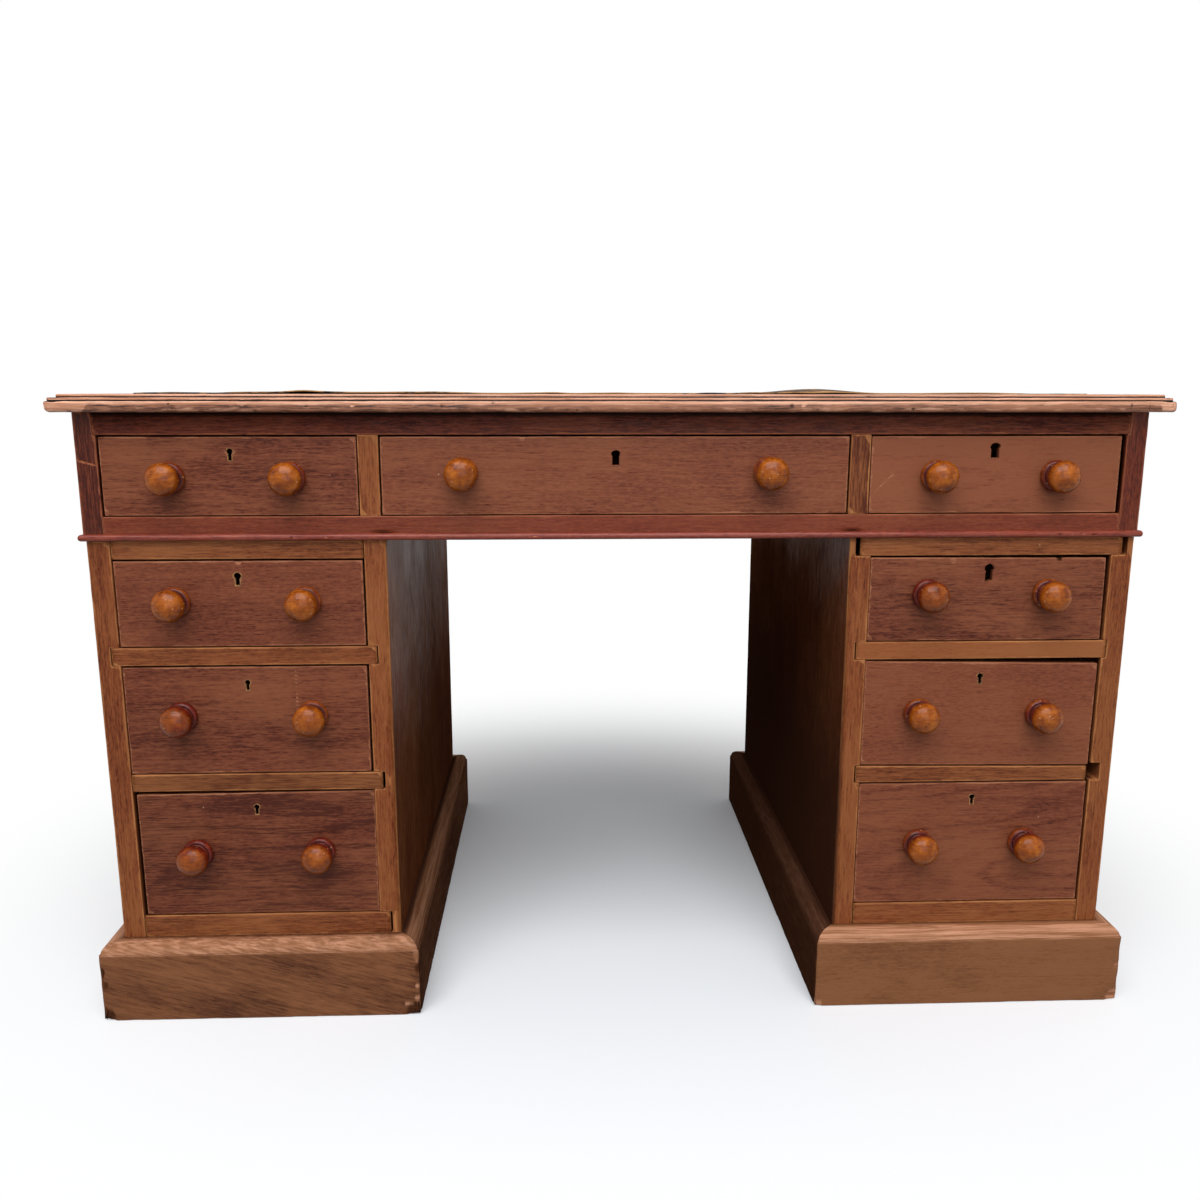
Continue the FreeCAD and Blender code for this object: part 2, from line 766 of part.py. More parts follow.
def knob(name):
    """A turned knob with its stem, its axis along Y and its dome towards -Y."""
    body = new_body(name)
    drawing = new_sketch(body, "XY_Plane")
    neck = (S.flange_height + S.dome_seat) / 2
    outline(drawing, [
        (ZERO, S.front_thickness + S.stem_past),
        (ZERO, -S.knob_reach, S.dome_crown_round, -1),
        (S.knob_diameter / 2 * DOME_SHOULDER_SHARE, (-S.knob_reach - S.dome_widest) / 2,
         S.dome_edge_round, -1),
        (S.knob_diameter / 2, -S.dome_widest, S.dome_edge_round, -1),
        (S.dome_seat_diameter / 2, -S.dome_seat),
        (S.neck_diameter / 2, -neck),
        (S.flange_foot_diameter / 2, -S.flange_height, S.flange_round, -1),
        (S.flange_foot_diameter / 2, ZERO),
        (S.stem_diameter / 2, ZERO),
        (S.stem_diameter / 2, S.front_thickness + S.stem_past),
    ])
    turned = body.newObject("PartDesign::Revolution", name + "_turned")
    turned.Profile = drawing
    turned.ReferenceAxis = (drawing, ["V_Axis"])
    return body


def lock(name, height):
    """A drawer lock: its case and top plate, a key pin, and a slot for the bolt."""
    body = new_body(name + "_lock_case")
    case_face = S.front_thickness - S.lock_depth
    plate_face = S.front_thickness - S.lock_plate_depth
    case = new_sketch(body, "XZ_Plane", -case_face)
    half = S.lock_width / 2
    rectangle(case, -half, height - S.lock_height, half, height - S.lock_plate_thickness)
    pad(body, case, S.lock_depth, reverse=True)
    plate = new_sketch(body, "XZ_Plane", -plate_face)
    half = S.lock_plate_width / 2
    rectangle(plate, -half, height - S.lock_plate_thickness, half, height)
    pad(body, plate, S.lock_plate_depth, reverse=True)
    hole = new_sketch(body, "XZ_Plane", -case_face)
    keyhole(hole, height, ZERO)
    pocket(body, hole, S.lock_wall)
    chamber = new_sketch(body, "XZ_Plane", -bolt_front)
    ring(chamber, ZERO, height - S.key_drop, S.key_chamber_round)
    ring(chamber, ZERO, height - S.key_drop, S.key_pin_diameter / 2)
    pocket(body, chamber, bolt_depth)
    slot = new_sketch(body, "XY_Plane", height)
    half = S.bolt_width / 2 + S.bolt_gap
    rectangle(slot, -half, bolt_front, half, bolt_front + bolt_depth)
    pocket(body, slot, S.bolt_height + S.bolt_gap * 2)
    return body


def keyhole_rim(name, height):
    """The thin brass rim let into the front round the keyhole."""
    body = new_body(name + "_rim")
    drawing = new_sketch(body, "XZ_Plane")
    keyhole(drawing, height, S.rim_width - S.rim_gap)
    keyhole(drawing, height, ZERO)
    pad(body, drawing, S.rim_depth, reverse=True)
    return body


def drawer(name, row, bay_centre, face, floor, bay_width, bay_room):
    """One drawer in its opening, in five sub-parts."""
    label = name + "_drawer"
    centre = drawer_centre(name, bay_centre)
    width = bay_width - S.front_side_gap * 2
    height = bay_room - S.front_top_gap - S.front_bottom_gap
    side_height = bay_room - S.running_gap - S.front_top_gap - S.side_top_drop
    spans = tails(side_height, TAIL_COUNTS[row])
    front_low = floor + S.front_bottom_gap
    side_low = floor + S.running_gap
    knob_x = width * (KNOB_SPAN_SHARES[name] / 2)
    knob_z = height * KNOB_HEIGHT_SHARES[name]
    rimmed = name in RIMMED

    front = drawer_front(name, width, height, side_height, spans, knob_x, knob_z, rimmed)
    keep(label + "_front", place(front, centre, face, front_low))

    inner = width / 2 - S.drawer_side
    left = place(drawer_side(name + "_side_l", side_height, spans, -1),
                 centre - width / 2, face, side_low)
    right = place(drawer_side(name + "_side_r", side_height, spans, 1),
                  centre + inner, face, side_low)
    panel_low = side_low + S.bottom_rise
    panel_top = panel_low + S.drawer_bottom
    reach = inner + S.groove_depth
    back = plank(name + "_back", (centre - inner, centre + inner),
                 (face + S.drawer_length - S.drawer_back * 2, face + S.drawer_length - S.drawer_back),
                 (panel_top, side_low + side_height - S.back_top_drop))
    bottom = plank(name + "_panel", (centre - reach, centre + reach),
                   (face + S.front_thickness - S.groove_depth, face + S.drawer_length),
                   (panel_low, panel_top))
    keep(label + "_box", group(name + "_box_group", [left, right, back, bottom]))

    knobs = []
    for hand, side in ((-1, "l"), (1, "r")):
        piece = knob("%s_knob_%s" % (name, side))
        knobs.append(place(piece, centre + knob_x * hand, face, front_low + knob_z))
    keep(label + "_knobs", group(name + "_knobs_group", knobs))

    fittings = [place(lock(name, height), centre, face, front_low)]
    if rimmed:
        fittings.append(place(keyhole_rim(name, height), centre, face, front_low))
    keep(label + "_lock", group(name + "_lock_group", fittings))

    half = S.bolt_width / 2
    top = front_low + height - S.bolt_gap
    bolt = plank(name + "_bolt_box", (centre - half, centre + half),
                 (face + bolt_front + S.bolt_gap, face + bolt_front + bolt_depth - S.bolt_gap),
                 (top - S.bolt_height, top))
    keep(label + "_bolt", bolt)


table_top()
bead_moulding()
for bay, (bay_centre, bay_width) in frieze_section().items():
    drawer(bay, "upper", bay_centre, case_front + S.front_recess, bay_floor, bay_width, bay_height)
for pedestal_hand, pedestal_name in ((-1, "left"), (1, "right")):
    middle_x, openings = pedestal(pedestal_hand, pedestal_name)
    for row_name, (opening_floor, opening_ceiling) in zip(PEDESTAL_ROWS, openings):
        drawer(pedestal_name + "_" + row_name, row_name, middle_x,
               pedestal_front + S.front_recess, opening_floor, opening_width,
               opening_ceiling - opening_floor)
doc.recompute()

faults = []
for item in doc.Objects:
    if "Invalid" in item.State or "Error" in item.State:
        faults.append("%s: %s" % (item.Name, item.State))
for label, piece in nodes.items():
    if piece.Shape.isNull() or not piece.Shape.isValid() or not piece.Shape.Solids:
        faults.append("%s: bad shape" % label)
if faults:
    raise RuntimeError("failed objects: " + "; ".join(faults))

os.makedirs("parts", exist_ok=True)
for label, piece in nodes.items():
    piece.Shape.exportStep("parts/%s.step" % label)
    print(label, len(piece.Shape.Solids), "solids", round(piece.Shape.Volume / 1000.0, 1), "cm3")
print(len(nodes), "sub-parts")
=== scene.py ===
"""The looks of a twin pedestal writing desk in old mahogany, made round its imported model.

Everything is in metres, +X to the sitter's right, +Y from the drawer fronts to the back and +Z up.
Hand-made differences between like pieces are small tables in millimetres.
"""
import json
import math

import bmesh
import bpy
import numpy as np
from mathutils import Matrix, Vector
from mathutils.kdtree import KDTree


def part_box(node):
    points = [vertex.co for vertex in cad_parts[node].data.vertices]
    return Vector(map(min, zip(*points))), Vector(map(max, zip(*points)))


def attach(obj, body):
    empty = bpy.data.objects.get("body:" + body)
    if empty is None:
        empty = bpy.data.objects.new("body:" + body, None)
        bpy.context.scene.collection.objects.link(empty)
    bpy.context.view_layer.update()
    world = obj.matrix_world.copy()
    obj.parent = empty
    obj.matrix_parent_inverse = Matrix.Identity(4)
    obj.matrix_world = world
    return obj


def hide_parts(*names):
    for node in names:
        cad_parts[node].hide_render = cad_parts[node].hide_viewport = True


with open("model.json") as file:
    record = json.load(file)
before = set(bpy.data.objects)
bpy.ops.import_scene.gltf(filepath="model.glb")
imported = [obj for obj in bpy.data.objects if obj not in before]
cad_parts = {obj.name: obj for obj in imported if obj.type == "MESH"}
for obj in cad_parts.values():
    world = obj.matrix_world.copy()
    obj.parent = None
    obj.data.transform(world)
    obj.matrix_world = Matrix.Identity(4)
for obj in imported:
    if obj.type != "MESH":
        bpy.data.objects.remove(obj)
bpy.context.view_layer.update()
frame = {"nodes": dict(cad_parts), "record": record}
MM = 0.001
X, Y, Z = 0, 1, 2


# Camera, at the place that shows the sizes as the photograph does
FOCAL_PIXELS = 1040.8
PHOTO_PIXELS = 1200
SENSOR = 36.0
NEAR_CLIP = 0.05
CAMERA_PLACE = (-0.0684, -1.5177, 0.7662)
YAW, PITCH, ROLL = (math.radians(angle) for angle in (2.142, 11.386, 0.04))


def make_camera():
    """A camera at the photograph's viewing angle."""
    forward = Vector((math.sin(YAW) * math.cos(PITCH), math.cos(YAW) * math.cos(PITCH), -math.sin(PITCH)))
    right = Vector((math.cos(YAW), -math.sin(YAW), 0.0))
    up = right.cross(forward)
    tilted_right = right * math.cos(ROLL) + up * math.sin(ROLL)
    tilted_up = up * math.cos(ROLL) - right * math.sin(ROLL)
    data = bpy.data.cameras.new("camera")
    data.sensor_width = SENSOR
    data.lens = FOCAL_PIXELS / PHOTO_PIXELS * SENSOR
    data.clip_start = NEAR_CLIP
    camera = bpy.data.objects.new("camera", data)
    turn = Matrix((tilted_right, tilted_up, -forward)).transposed()
    camera.matrix_world = Matrix.Translation(CAMERA_PLACE) @ turn.to_4x4()
    bpy.context.scene.collection.objects.link(camera)
    bpy.context.scene.camera = camera


make_camera()


# Smooth noise that is the same on every run
NOISE_KEYS = np.array([73856093, 19349663, 83492791], dtype=np.int64)
NOISE_MIX = 1274126177
NOISE_STEP = 17.31


def noise(points, scale, seed=0):
    """A value from 0 to 1 at each point, smooth over lengths of about 1 / scale."""
    place = np.asarray(points, float) * scale + seed * NOISE_STEP
    cell = np.floor(place).astype(np.int64)
    part = place - cell
    part = part * part * (3 - 2 * part)
    total = np.zeros(len(place))
    for corner in range(8):
        step = np.array([corner & 1, corner >> 1 & 1, corner >> 2 & 1])
        key = (cell + step) @ NOISE_KEYS
        key = (key ^ (key >> 13)) * NOISE_MIX & 0x7FFFFFFF
        value = ((key ^ (key >> 15)) & 0xFFFF) / 0xFFFF
        total += value * np.prod(np.where(step, part, 1 - part), axis=1)
    return total


def spread(seed, low=-1.0, high=1.0):
    """One steady number between low and high for a seed."""
    return low + (high - low) * float(noise([[seed * 0.37, seed * 0.71, seed * 1.3]], 7.7)[0])


def srgb(red, green, blue):
    """A colour as seen on a screen, 0 to 255, as a linear colour."""
    channels = [value / 255 for value in (red, green, blue)]
    return tuple(c / 12.92 if c < 0.04045 else ((c + 0.055) / 1.055) ** 2.4 for c in channels) + (1.0,)


def within(away, reach):
    """1 where away is 0, and falling to 0 where it is the reach or more."""
    return np.clip(1 - away / reach, 0, 1)


def bell(away, width):
    return np.exp(-(away / width) ** 2)


# Finishes

class Finish:
    """A material whose nodes are added one at a time."""

    def __init__(self, name):
        self.material = bpy.data.materials.new(name)
        self.material.use_nodes = True
        self.nodes = self.material.node_tree.nodes
        self.links = self.material.node_tree.links
        self.shader = self.nodes["Principled BSDF"]

    def node(self, kind, inputs=(), **settings):
        made = self.nodes.new("ShaderNode" + kind)
        for key, value in settings.items():
            setattr(made, key, value)
        for key, value in dict(inputs).items():
            self.put(made.inputs[key], value)
        return made

    def put(self, socket, value):
        if isinstance(value, bpy.types.NodeSocket):
            self.links.new(value, socket)
        else:
            socket.default_value = value

    def attribute(self, name, output="Fac"):
        return self.node("Attribute", attribute_name=name).outputs[output]

    def maths(self, operation, first, second=0.0, clamp=False):
        return self.node("Math", {0: first, 1: second}, operation=operation, use_clamp=clamp).outputs[0]

    def times(self, first, second):
        return self.maths("MULTIPLY", first, second)

    def blend(self, *terms):
        """The sum of terms, each a value and what it is multiplied by."""
        total = None
        for value, factor in terms:
            part = self.times(value, factor)
            total = part if total is None else self.maths("ADD", total, part)
        return total

    def centred(self, value):
        return self.maths("SUBTRACT", value, 0.5)

    def scaled(self, vector, scale):
        return self.node("VectorMath", {0: vector, 1: scale}, operation="MULTIPLY").outputs[0]

    def moved(self, vector, by):
        return self.node("VectorMath", {0: vector, 1: by}, operation="ADD").outputs[0]

    def noise(self, vector, scale=1.0, detail=2.0, roughness=0.5, output="Fac"):
        made = self.node("TexNoise", {"Vector": vector, "Scale": scale, "Detail": detail,
                                      "Roughness": roughness})
        return made.outputs[output]

    def span(self, value, low, high, to_low=0.0, to_high=1.0, steps="SMOOTHSTEP"):
        """Turns low to high into to_low to to_high, and holds it there."""
        made = self.node("MapRange", {"Value": value, "From Min": low, "From Max": high,
                                      "To Min": to_low, "To Max": to_high}, interpolation_type=steps)
        return made.outputs[0]

    def mix(self, share, first, second):
        return self.node("Mix", {0: share, 6: first, 7: second}, data_type="RGBA").outputs[2]

    def ramp(self, value, stops):
        made = self.node("ValToRGB", {0: value})
        elements = made.color_ramp.elements
        while len(elements) < len(stops):
            elements.new(0.5)
        for element, (place, colour) in zip(elements, stops):
            element.position = place
            element.color = colour
        return made.outputs[0]

    def bump(self, height, strength, distance):
        return self.node("Bump", {"Height": height, "Strength": strength, "Distance": distance}).outputs[0]

    def surface(self, **sockets):
        for name, value in sockets.items():
            self.put(self.shader.inputs[name.replace("_", " ")], value)


SPECK = srgb(204, 166, 132)
# The colour that most woods and the brass darken to, by soiling and by painted shade in gaps, grooves,
# under the top and inside keyholes
GRIME_AND_SHADE = srgb(22, 10, 6)
# The colour of the painted shade by the sitter's knees, which is also what the case and plinth wood darken
# to, by soiling and by painted shade
KNEE_SHADE = srgb(66, 38, 26)
SHINE = 0.14


def wood(name, dark, middle, light, faded, worn, fading=0.5, streaks=0.5, gloss=0.42, coat=0.0,
         rim_width=0.002, specks=1.0, darkening=GRIME_AND_SHADE, figure=(1.2, 26.0, 26.0), waves=0.0, flecked=0.9,
         mottled=0.4):
    """Old varnished wood: growth bands, fine streaks and pores along the grain, faded patches,
    pale rubbed edges, pale places that are partly painted highlights, dark soiling and painted shade,
    and small nicks. Scales are per metre, along the grain first."""
    f = Finish(name)
    grain = f.attribute("grain", "Vector")
    wander = f.noise(f.scaled(grain, (5.0, 16.0, 16.0)), 1.0, 2.0, 0.5, "Color")
    wander = f.scaled(f.moved(wander, (-0.5, -0.5, -0.5)), (0.0, 0.016, 0.016))
    bent = f.moved(grain, wander)
    bands = f.noise(f.scaled(bent, figure), 1.0, 3.0, 0.55)
    lines = f.noise(f.scaled(bent, (7.0, 330.0, 330.0)), 1.0, 4.0, 0.6)
    dashes = f.noise(f.scaled(grain, (42.0, 620.0, 620.0)), 1.0, 3.0, 0.62)
    flecks = f.noise(f.scaled(grain, (130.0, 520.0, 520.0)), 1.0, 2.0, 0.7)
    patches = f.noise(f.scaled(grain, (4.5, 11.0, 11.0)), 1.0, 4.0, 0.62)

    depth = f.blend((f.centred(bands), 0.55), (f.centred(lines), streaks),
                    (f.centred(dashes), streaks * 1.6), (f.centred(flecks), flecked),
                    (f.attribute("tone"), 0.3), (f.centred(patches), mottled))
    if waves:
        flow = f.noise(f.scaled(bent, (2.4, 10.0, 10.0)), 1.0, 1.5, 0.45)
        flow = f.maths("SINE", f.times(flow, 75.0))
        depth = f.maths("SUBTRACT", depth, f.times(f.span(flow, 0.1, 1.0), waves))
    colour = f.ramp(f.maths("ADD", depth, 0.5), [(0.18, dark), (0.5, middle), (0.86, light)])

    thin = f.blend((patches, 0.7), (dashes, 0.5), (lines, 0.25))
    thin = f.span(thin, 0.72 - 0.25 * fading, 1.02 - 0.25 * fading)
    colour = f.mix(f.times(thin, 0.75), colour, faded)

    pores = f.noise(f.scaled(grain, (110.0, 1900.0, 1900.0)), 1.0, 1.0, 0.5)
    pores = f.span(pores, 0.62, 0.72)
    colour = f.mix(f.times(pores, 0.25), colour, dark)

    ragged = f.noise(f.scaled(grain, (38.0, 150.0, 150.0)), 1.0, 4.0, 0.65)
    reach = f.times(f.span(ragged, 0.3, 0.75, 0.05, 2.2, "LINEAR"), rim_width)
    rubbed = f.maths("SUBTRACT", 1.0, f.maths("DIVIDE", f.attribute("rim"), reach), clamp=True)
    rubbed = f.times(f.span(rubbed, 0.0, 0.5), 0.68)
    # Paled where it is worn bare, and by painted highlights on the top's steps and the plinths' tops
    fade_and_highlight = f.blend((f.attribute("fade_and_highlight"), 1.0), (f.centred(ragged), 0.7))
    bare = f.maths("MAXIMUM", rubbed, f.span(fade_and_highlight, 0.25, 0.8))
    colour = f.mix(bare, colour, f.mix(f.span(lines, 0.35, 0.65), worn, faded))

    spots = f.node("TexVoronoi", {"Vector": grain, "Scale": 34.0}, feature="F1")
    chosen = f.node("SeparateColor", {0: spots.outputs["Color"]}).outputs[0]
    speck = f.times(f.span(spots.outputs["Distance"], 0.035, 0.02), f.span(chosen, 0.72, 0.76))
    colour = f.mix(f.times(speck, 0.7 * specks), colour, SPECK)

    # Darkened by soiling and by painted shade
    dirt_and_shade_amount = f.blend((f.attribute("dirt_and_shade"), 1.0), (f.centred(ragged), 0.3))
    dirt_and_shade_share = f.span(dirt_and_shade_amount, 0.15, 0.95)
    colour = f.mix(dirt_and_shade_share, colour, darkening)

    rough = f.maths("ADD", f.blend((f.centred(patches), 0.25), (bare, 0.22)), gloss)
    relief = f.blend((lines, 0.7), (dashes, 0.6), (pores, -0.7), (speck, -1.5))
    # Gloss is taken away with the soiling and the painted shade
    free_of_dirt_and_shade = f.maths("SUBTRACT", 1.0, dirt_and_shade_share)
    shine = f.times(f.maths("POWER", free_of_dirt_and_shade, 9.0), SHINE)
    f.surface(Base_Color=colour, Roughness=rough, Specular_IOR_Level=shine, Coat_Weight=coat,
              Coat_Roughness=0.22, Normal=f.bump(relief, 0.35, 0.0006))
    return f.material


def knob_wood():
    """Turned, polished knobs: orange at the front where hands rub them, dark red as painted shade
    towards the drawer and under the head, and near black in the grooves as painted shade.
    """
    f = Finish("knob_wood")
    grain = f.attribute("grain", "Vector")
    tone = f.attribute("tone")
    swirl = f.noise(grain, 130.0, 4.0, 0.6)
    blotch = f.noise(grain, 55.0, 3.0, 0.6)
    lines = f.noise(f.scaled(grain, (60.0, 60.0, 900.0)), 1.0, 3.0, 0.6)
    depth = f.blend((swirl, 0.5), (blotch, 0.5), (f.centred(lines), 0.3))
    orange = f.ramp(depth, [(0.34, srgb(104, 42, 8)), (0.5, srgb(150, 74, 14)), (0.66, srgb(186, 102, 28))])
    red = f.ramp(depth, [(0.3, srgb(56, 10, 6)), (0.55, srgb(102, 26, 12)), (0.75, srgb(138, 50, 20))])
    # Dark red towards the drawer and under the head: painted shade
    share = f.blend((f.attribute("dirt_and_shade"), 1.0), (f.centred(blotch), 1.2), (tone, -0.5))
    colour = f.mix(f.span(share, 0.1, 0.75), orange, red)
    # Near black in the grooves: painted shade
    colour = f.mix(f.times(f.attribute("rim"), 0.9), colour, srgb(24, 6, 6))
    chips = f.node("TexVoronoi", {"Vector": grain, "Scale": 260.0}, feature="F1")
    chosen = f.node("SeparateColor", {0: chips.outputs["Color"]}).outputs[0]
    chip = f.times(f.span(chips.outputs["Distance"], 0.3, 0.18), f.span(chosen, 0.9, 0.94))
    colour = f.mix(f.times(chip, 0.5), colour, srgb(226, 168, 110))
    f.surface(Base_Color=colour, Roughness=f.span(blotch, 0.3, 0.7, 0.2, 0.36), Specular_IOR_Level=0.1,
              Coat_Weight=0.22, Coat_Roughness=0.14, Normal=f.bump(swirl, 0.2, 0.0008))
    return f.material


def hide():
    """Dark, dry desk leather with fine pebbling, scuffs and a tan raw edge."""
    f = Finish("leather")
    place = f.attribute("grain", "Vector")
    cells = f.node("TexVoronoi", {"Vector": place, "Scale": 620.0}, feature="DISTANCE_TO_EDGE")
    pebble = f.span(cells.outputs["Distance"], 0.0, 0.25)
    cloud = f.noise(place, 7.0, 5.0, 0.6)
    scuff = f.noise(f.scaled(place, (30.0, 90.0, 90.0)), 1.0, 5.0, 0.7)
    colour = f.ramp(cloud, [(0.3, srgb(34, 22, 18)), (0.55, srgb(58, 36, 26)), (0.75, srgb(84, 54, 38))])
    colour = f.mix(f.times(f.span(scuff, 0.58, 0.72), 0.5), colour, srgb(132, 96, 66))
    colour = f.mix(f.times(f.attribute("dirt_and_shade"), 0.8), colour, srgb(16, 11, 9))
    raw = f.blend((f.attribute("fade_and_highlight"), 1.0), (f.centred(scuff), 1.2))
    colour = f.mix(f.span(raw, 0.4, 0.75), colour, srgb(188, 138, 84))
    f.surface(Base_Color=colour, Roughness=f.span(cloud, 0.3, 0.7, 0.45, 0.62), Specular_IOR_Level=0.2,
              Normal=f.bump(f.blend((pebble, 0.6), (scuff, 1.0)), 0.35, 0.0004))
    return f.material


def metal(name, bright, dull, roughness):
    """Old brass: bright where it is handled, dull and spotted elsewhere."""
    f = Finish(name)
    place = f.node("TexCoord").outputs["Object"]
    spots = f.noise(place, 420.0, 4.0, 0.6)
    cloud = f.noise(place, 90.0, 3.0, 0.5)
    colour = f.mix(f.span(f.blend((spots, 1.0), (cloud, 0.6)), 0.62, 1.0), bright, dull)
    # Turned black and not metallic as painted shade behind the keyholes, and dulled by soiling elsewhere
    colour = f.mix(f.attribute("dirt_and_shade"), colour, GRIME_AND_SHADE)
    free_of_dirt_and_shade = f.maths("SUBTRACT", 1.0, f.attribute("dirt_and_shade"))
    f.surface(Base_Color=colour, Metallic=free_of_dirt_and_shade, Specular_IOR_Level=f.times(free_of_dirt_and_shade, 0.5),
              Roughness=f.span(spots, 0.3, 0.7, roughness, roughness + 0.25),
              Normal=f.bump(spots, 0.2, 0.0002))
    return f.material


# Each wood's dark, middle, light, faded and rubbed colour, and what else sets it apart; the top's
# rubbed colour also paints the highlights on its steps
FRONT_COLOURS = ((74, 32, 21), (116, 60, 41), (140, 80, 54), (141, 84, 56), (186, 124, 90))
WOODS = {
    "top_wood": (((64, 34, 24), (114, 70, 52), (148, 98, 72), (182, 122, 90), (236, 178, 146)),
                 {"fading": 0.5, "streaks": 0.8, "gloss": 0.5, "coat": 0.35}),
    "case_wood": (((80, 34, 18), (128, 66, 36), (152, 86, 48), (154, 94, 54), (200, 134, 80)),
                  {"fading": 0.45, "gloss": 0.45, "darkening": KNEE_SHADE}),
    "frieze_wood": (((64, 24, 16), (106, 46, 30), (132, 62, 40), (132, 72, 46), (176, 104, 70)),
                    {"fading": 0.25, "streaks": 0.4, "gloss": 0.36, "coat": 0.03}),
    "rail_wood": (((82, 38, 20), (128, 68, 38), (152, 88, 50), (158, 98, 58), (198, 132, 80)),
                  {"gloss": 0.45, "streaks": 0.4}),
    "front_wood": (FRONT_COLOURS, {"fading": 0.4, "streaks": 0.4, "flecked": 1.15}),
    "figured_wood": (FRONT_COLOURS, {"fading": 0.35, "streaks": 0.4, "figure": (3.0, 22.0, 22.0),
                                     "waves": 0.18}),
    "bead_wood": (((84, 26, 18), (132, 54, 38), (156, 76, 54), (156, 80, 58), (200, 124, 94)),
                  {"fading": 0.2, "streaks": 0.3, "gloss": 0.3, "coat": 0.25, "rim_width": 0.001}),
    "plinth_wood": (((76, 42, 26), (114, 68, 42), (142, 92, 58), (150, 98, 64), (206, 148, 114)),
                    {"fading": 0.4, "streaks": 0.3, "gloss": 0.5, "darkening": KNEE_SHADE, "flecked": 0.7,
                     "mottled": 1.3}),
    "lining_wood": (((116, 72, 42), (164, 114, 72), (190, 142, 96), (182, 136, 96), (204, 162, 120)),
                    {"fading": 0.3, "streaks": 0.7, "gloss": 0.6, "specks": 0.0, "rim_width": 0.0015}),
}
FINISHES = {name: wood(name, *[srgb(*colour) for colour in colours], **settings)
            for name, (colours, settings) in WOODS.items()}
FINISHES["knob_wood"] = knob_wood()
FINISHES["leather"] = hide()
FINISHES["brass"] = metal("brass", srgb(196, 142, 92), srgb(112, 74, 48), 0.35)
FINISHES["bolt_brass"] = metal("bolt_brass", srgb(200, 150, 94), srgb(128, 90, 56), 0.3)


# Pieces

BODY_OF = {node: body for body, nodes in frame["record"]["behaviour"]["bodies"].items() for node in nodes}


class Piece:
    """Boards, mouldings and turnings gathered into one mesh, whose points carry what the finishes
    read: grain is the place in the board with the length of its grain first, rim the distance to
    the nearest arris, tone how light the board is, fade how bare the place is, partly as painted
    highlight, and dirt how dark it is made, by soiling and by painted shade."""

    def __init__(self):
        self.points, self.faces, self.grain, self.count = [], [], [], 0
        self.values = {"rim": [], "tone": [], "fade_and_highlight": [], "dirt_and_shade": []}

    def add(self, points, faces, grain, rim, tone=0.0, fade_and_highlight=0.0, dirt_and_shade=0.0):
        self.faces += [[index + self.count for index in face] for face in faces]
        self.count += len(points)
        self.points.append(points)
        self.grain.append(grain)
        for name, value in (("rim", rim), ("tone", tone), ("fade_and_highlight", fade_and_highlight), ("dirt_and_shade", dirt_and_shade)):
            self.values[name].append(np.broadcast_to(value, len(points)))

    def make(self, node, slot, finish=None, smooth=20.0):
        """The piece that stands for a node of the model, on that node's body."""
        mesh = bpy.data.meshes.new(node + "_look")
        mesh.from_pydata(np.concatenate(self.points).tolist(), [], self.faces)
        grain = mesh.attributes.new("grain", "FLOAT_VECTOR", "POINT")
        grain.data.foreach_set("vector", np.concatenate(self.grain).astype(np.float32).ravel())
        for name, values in self.values.items():
            layer = mesh.attributes.new(name, "FLOAT", "POINT")
            layer.data.foreach_set("value", np.concatenate(values).astype(np.float32))
        mesh.materials.append(FINISHES[finish or slot])
        mesh.shade_smooth()
        mesh.set_sharp_from_angle(angle=math.radians(smooth))
        made = bpy.data.objects.new(node + "_look", mesh)
        bpy.context.scene.collection.objects.link(made)
        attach(made, BODY_OF[node])
        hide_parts(node)


def box_of(node):
    """A node's lowest and highest corner."""
    low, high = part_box(node)
    return np.array(low), np.array(high)


def parts_of(node):
    """The points and faces of each separate solid of a node, each a closed surface, the lowest
    solid first. A node's faces come solid by solid."""
    mesh = frame["nodes"][node].data
    places = np.array([vertex.co for vertex in mesh.vertices])
    keys, index = np.unique(np.round(places, 6), axis=0, return_inverse=True)
    index = index.ravel()
    found, faces, open_edges = [], [], set()
    for face in mesh.polygons:
        corners = [int(index[corner]) for corner in face.vertices]
        if len(set(corners)) < len(corners):
            continue
        faces.append(corners)
        for edge in zip(corners, corners[1:] + corners[:1]):
            if edge[::-1] in open_edges:
                open_edges.remove(edge[::-1])
            else:
                open_edges.add(edge)
        if not open_edges:
            used, local = np.unique(faces, return_inverse=True)
            found.append((keys[used], local.reshape(-1, 3).tolist()))
            faces = []
    return sorted(found, key=lambda part: tuple(np.round(part[0].min(0)[[Z, X, Y]], 4)))


def solids(node):
    """The lowest and highest corner of each separate solid of a node, the lowest solid first."""
    return [(points.min(0), points.max(0)) for points, _ in parts_of(node)]


def normals_of(points, faces):
    """The smooth normal of each point."""
    total = np.zeros_like(points)
    for size in {len(face) for face in faces}:
        chosen = np.array([face for face in faces if len(face) == size])
        corners = points[chosen]
        normal = np.cross(corners[:, 2] - corners[:, 0], corners[:, -1] - corners[:, 1])
        for corner in range(size):
            np.add.at(total, chosen[:, corner], normal)
    return total / np.maximum(np.linalg.norm(total, axis=1, keepdims=True), 1e-12)


# Boards

STEP = 9 * MM
LEAST_STEP = 2.0 * MM
CHIP_STEP = 1.3 * MM
ARRIS = 0.9 * MM
ARRIS_SEGMENTS = 2
RIM_STEP = 2.5 * MM
SHARP_TURN = 0.5
# How deep, and how far from an arris, a board is rubbed down
WEAR, WEAR_REACH = 0.7 * MM, 4 * MM


